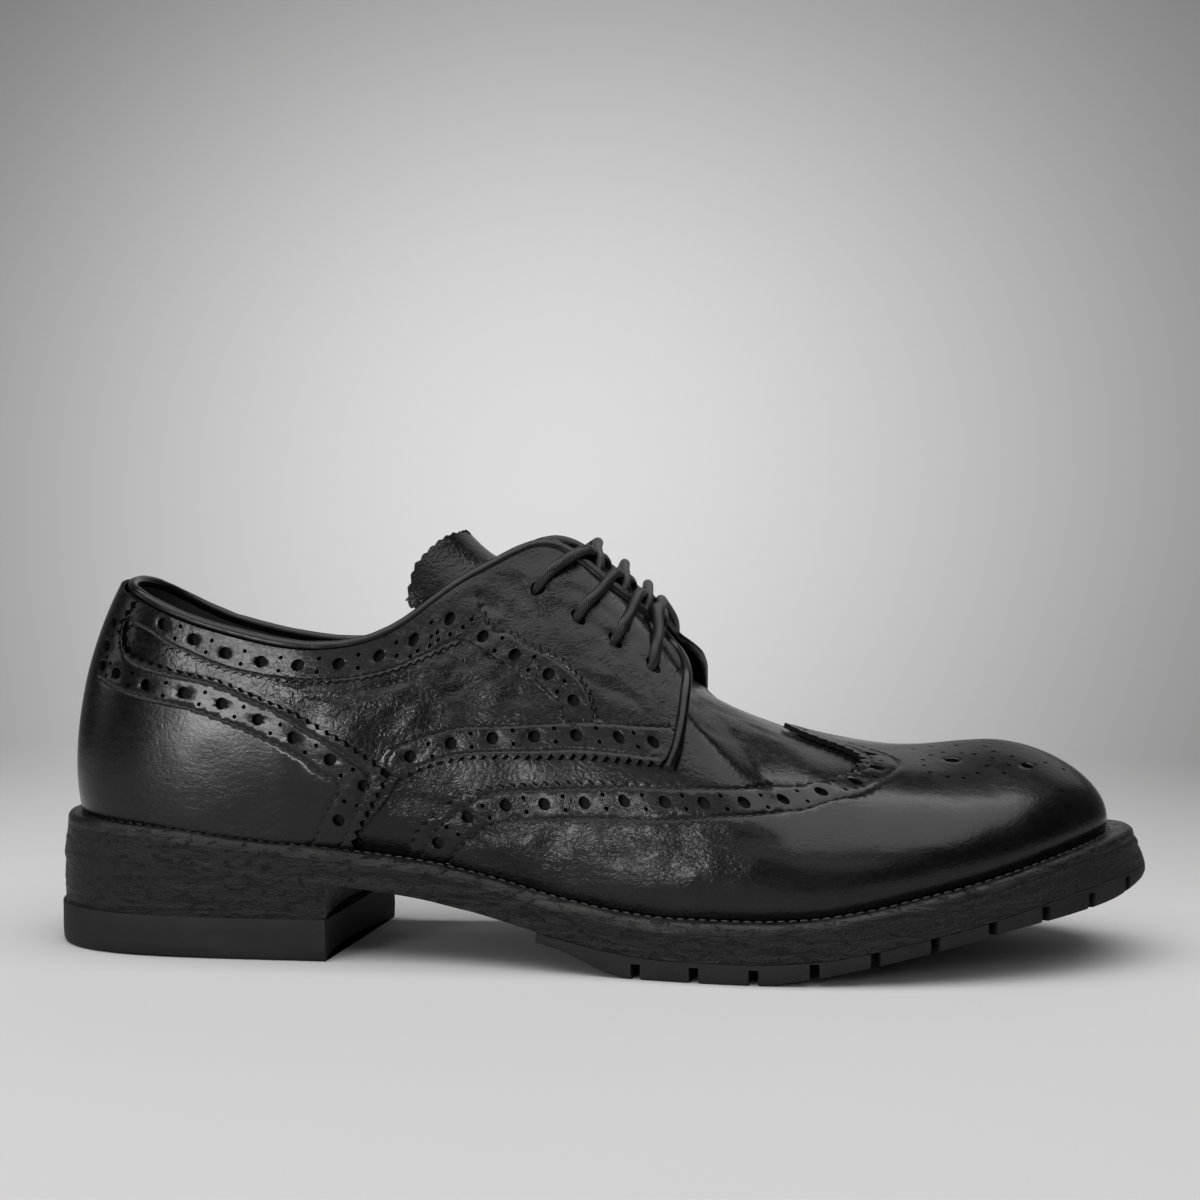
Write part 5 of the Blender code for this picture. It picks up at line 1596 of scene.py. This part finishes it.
# %% Stitch tree
def stitch_tree():
    tree = bpy.data.node_groups.new("row of stitches", "GeometryNodeTree")
    tree.interface.new_socket("Line", in_out="INPUT", socket_type="NodeSocketGeometry")
    for name, value in (("Pitch", .0026), ("Stitch length", .0021), ("Thread", .0005)):
        tree.interface.new_socket(name, in_out="INPUT", socket_type="NodeSocketFloat").default_value = value
    tree.interface.new_socket("Thread finish", in_out="INPUT", socket_type="NodeSocketMaterial")
    tree.interface.new_socket("Stitches", in_out="OUTPUT", socket_type="NodeSocketGeometry")
    def add(kind, **settings):
        made = tree.nodes.new(kind)
        for key, value in settings.items():
            setattr(made, key, value)
        return made
    start, end = add("NodeGroupInput"), add("NodeGroupOutput")
    points = add("GeometryNodeCurveToPoints", mode="LENGTH")
    bead = add("GeometryNodeMeshUVSphere")
    bead.inputs["Segments"].default_value, bead.inputs["Rings"].default_value = 6, 4
    bead.inputs["Radius"].default_value = .5
    size = add("ShaderNodeCombineXYZ")
    place, real, finish = (add("GeometryNodeInstanceOnPoints"), add("GeometryNodeRealizeInstances"),
                           add("GeometryNodeSetMaterial"))
    shade = add("GeometryNodeSetShadeSmooth")
    for a, b in ((start.outputs["Line"], points.inputs["Curve"]),
                 (start.outputs["Pitch"], points.inputs["Length"]),
                 (points.outputs["Points"], place.inputs["Points"]),
                 (points.outputs["Rotation"], place.inputs["Rotation"]),
                 (bead.outputs["Mesh"], place.inputs["Instance"]),
                 (start.outputs["Thread"], size.inputs["X"]),
                 (start.outputs["Thread"], size.inputs["Y"]),
                 (start.outputs["Stitch length"], size.inputs["Z"]),
                 (size.outputs[0], place.inputs["Scale"]),
                 (place.outputs["Instances"], real.inputs["Geometry"]),
                 (real.outputs["Geometry"], shade.inputs["Geometry"]),
                 (shade.outputs["Geometry"], finish.inputs["Geometry"]),
                 (start.outputs["Thread finish"], finish.inputs["Material"]),
                 (finish.outputs["Geometry"], end.inputs["Stitches"])):
        tree.links.new(a, b)
    return tree


STITCH_TREE = stitch_tree()
STITCH_INPUTS = {item.name: item.identifier for item in STITCH_TREE.interface.items_tree
                 if item.in_out == "INPUT"}
print("stitch inputs:", list(STITCH_INPUTS))

# %% [markdown]
# ## Running the stitch tree
# The lines are laid on the finished leather as poly curves, the tree's inputs are set by their identifiers,
# and the evaluated result is kept as a mesh that sits at the origin.

# %% Stitch runs
def stitched(name, runs, pitch=.0026, length=.0022, thread=.00048):
    curve = bpy.data.curves.new(name + "_line", "CURVE")
    curve.dimensions = "3D"
    for run in runs:
        spline = curve.splines.new("POLY")
        spline.points.add(len(run) - 1)
        spline.points.foreach_set("co", np.concatenate([run - np.array([REST_BACK, 0, 0]),
                                                        np.ones((len(run), 1))], 1).ravel())
    line = bpy.data.objects.new(name + "_line", curve)
    bpy.context.scene.collection.objects.link(line)
    rows = line.modifiers.new("stitches", "NODES")
    rows.node_group = STITCH_TREE
    for key, value in (("Pitch", pitch), ("Stitch length", length), ("Thread", thread),
                       ("Thread finish", THREAD)):
        rows[STITCH_INPUTS[key]] = value
    bpy.context.view_layer.update()
    mesh = bpy.data.meshes.new_from_object(line.evaluated_get(bpy.context.evaluated_depsgraph_get()))
    mesh.name = name
    rows_object = bpy.data.objects.new(name, mesh)
    bpy.context.scene.collection.objects.link(rows_object)
    bpy.data.objects.remove(line)
    return rows_object


def on_leather(line, height, side, lift=None):
    shares = roll_up(walk(line, .0009, side)[0])
    u, w = side * shares[:, 0], np.clip(shares[:, 1], 0, 1)
    return leather(u, w, height + relief(u, w) + (lift(u, w) if lift else 0))


SUNK = .00012
wing_rows = [on_leather(line, .0003 - GROOVE + SUNK, side)
             for side in (-1, 1) for line in (WING_HIGH_STITCH, WING_LOW_STITCH)]
quarter_rows = [on_leather(line, BAND_RISE * .7 - GROOVE + SUNK, side, flap_lift)
                for side in (-1, 1) for line in quarter_lines]
counter_rows = [on_leather(line, COUNTER_HIGH - GROOVE + SUNK, side) for side in (-1, 1)
                for line in (COUNTER_HIGH_STITCH, COUNTER_LOW_STITCH)]
dress(stitched("upper_stitches", wing_rows + quarter_rows + counter_rows), "cord")

# %% [markdown]
# ## Welt stitches
# A row of heavier stitches shows in the groove between the upper and the welt. It follows the feather line,
# so it is the same tree with a longer stitch.

# %% Welt row
seam_u = np.linspace(-1, 1, 900)
seam_in = BALL_WIDTH * around(seam_u, WELT_MARGIN, 1, 1) - .0013
seam = outline(seam_u, seam_in)
seam_run = np.concatenate([seam, (welt_top(seam[:, 0]) - .00005)[:, None]], -1)
dress(stitched("welt_stitches", [seam_run], .0030, .0026, .0007), "cord")

# %% [markdown]
# ## Floor, backdrop and light
# The photograph has a pale, seamless floor that fades into a grey wall, one large soft light above the
# camera and weaker ones from the sides. The floor and the wall are one curved sheet. The glow on the wall
# isn't light but paint: its middle and width are laid out along lines of sight from the camera's place. A
# better stage would light a plain wall, or would give the glow a fixed place.

# %% Stage
GLOW = (.124, .120, .176, .262)      # turn of the middle, its height, reach across per metre, reach up
DIM, BRIGHT, FLOOR_PAPER = (.092, .0908, .0908), (.672, .664, .665), (.555, .548, .549)


def build_stage():
    bend, floor_front, wall_back, half = .80, -.85, 1.15, 1.8
    profile = [(floor_front, 0.0), (wall_back - bend, 0.0)]
    profile += [(wall_back - bend + bend * math.sin(a), bend - bend * math.cos(a))
                for a in np.linspace(.05, math.pi / 2, 40)]
    profile += [(wall_back, 2.0)]
    points = [(x, y, z) for y, z in profile for x in (-half, half)]
    faces = [(2 * k, 2 * k + 1, 2 * k + 3, 2 * k + 2) for k in range(len(profile) - 1)]
    mesh = bpy.data.meshes.new("studio")
    mesh.from_pydata(points, [], faces)
    mesh.shade_smooth()
    finish = Finish("studio paper", (.62, .615, .615), .85)
    axes = finish.node("ShaderNodeSeparateXYZ", None, {0: finish.place})
    x, y, z = (Wire(finish, socket) for socket in axes.outputs)
    away = (y + VIEW_DISTANCE).math("MAXIMUM", y + VIEW_DISTANCE, .3)
    across = (x - .185 + away * GLOW[0]).math("DIVIDE", x - .185 + away * GLOW[0], away * GLOW[2])
    up = (z - GLOW[1]) * (1 / GLOW[3])
    glow = (across * across + up * up) * -.5
    glow = glow.math("EXPONENT", glow)
    wall = finish.mix(glow, DIM, BRIGHT)
    finish.feed("Base Color", finish.mix(y.between(.08, .42), FLOOR_PAPER, wall))
    mesh.materials.append(finish.material)
    stage = bpy.data.objects.new("studio", mesh)
    bpy.context.scene.collection.objects.link(stage)
    return stage


def soft_light(name, place, aim, size, power, colour=(1, 1, 1)):
    data = bpy.data.lights.new(name, "AREA")
    data.shape, data.size, data.size_y = "RECTANGLE", size[0], size[1]
    data.energy, data.color = power, colour
    light = bpy.data.objects.new(name, data)
    bpy.context.scene.collection.objects.link(light)
    light.location = place
    light.rotation_euler = (Vector(aim) - Vector(place)).to_track_quat("-Z", "Y").to_euler()
    return light


build_stage()
soft_light("overhead", (.05, -.40, 1.25), (.05, -.1, 0), (2.2, 1.6), 25)
soft_light("key", (-.64, -1.45, .26), (.1, 0, .05), (.36, .38), 8.0)
soft_light("rim", (.35, .95, .72), (.1, 0, .05), (1.2, .5), 1.0)
soft_light("front", (.1, -1.6, .80), (.1, 0, .05), (1.4, .4), 1.8)
soft_light("left", (-1.3, -.2, .5), (.1, 0, .05), (.5, .6), 1.2)
soft_light("backdrop", (0, .25, 1.25), (0, .95, .15), (1.6, .3), 4.0)
world = bpy.data.worlds.new("soft grey")
world.use_nodes = True
world.node_tree.nodes["Background"].inputs[0].default_value = (.75, .75, .76, 1)
world.node_tree.nodes["Background"].inputs[1].default_value = .04
bpy.context.scene.world = world
bpy.context.scene.view_settings.view_transform = "Standard"
print("stage and six lights")
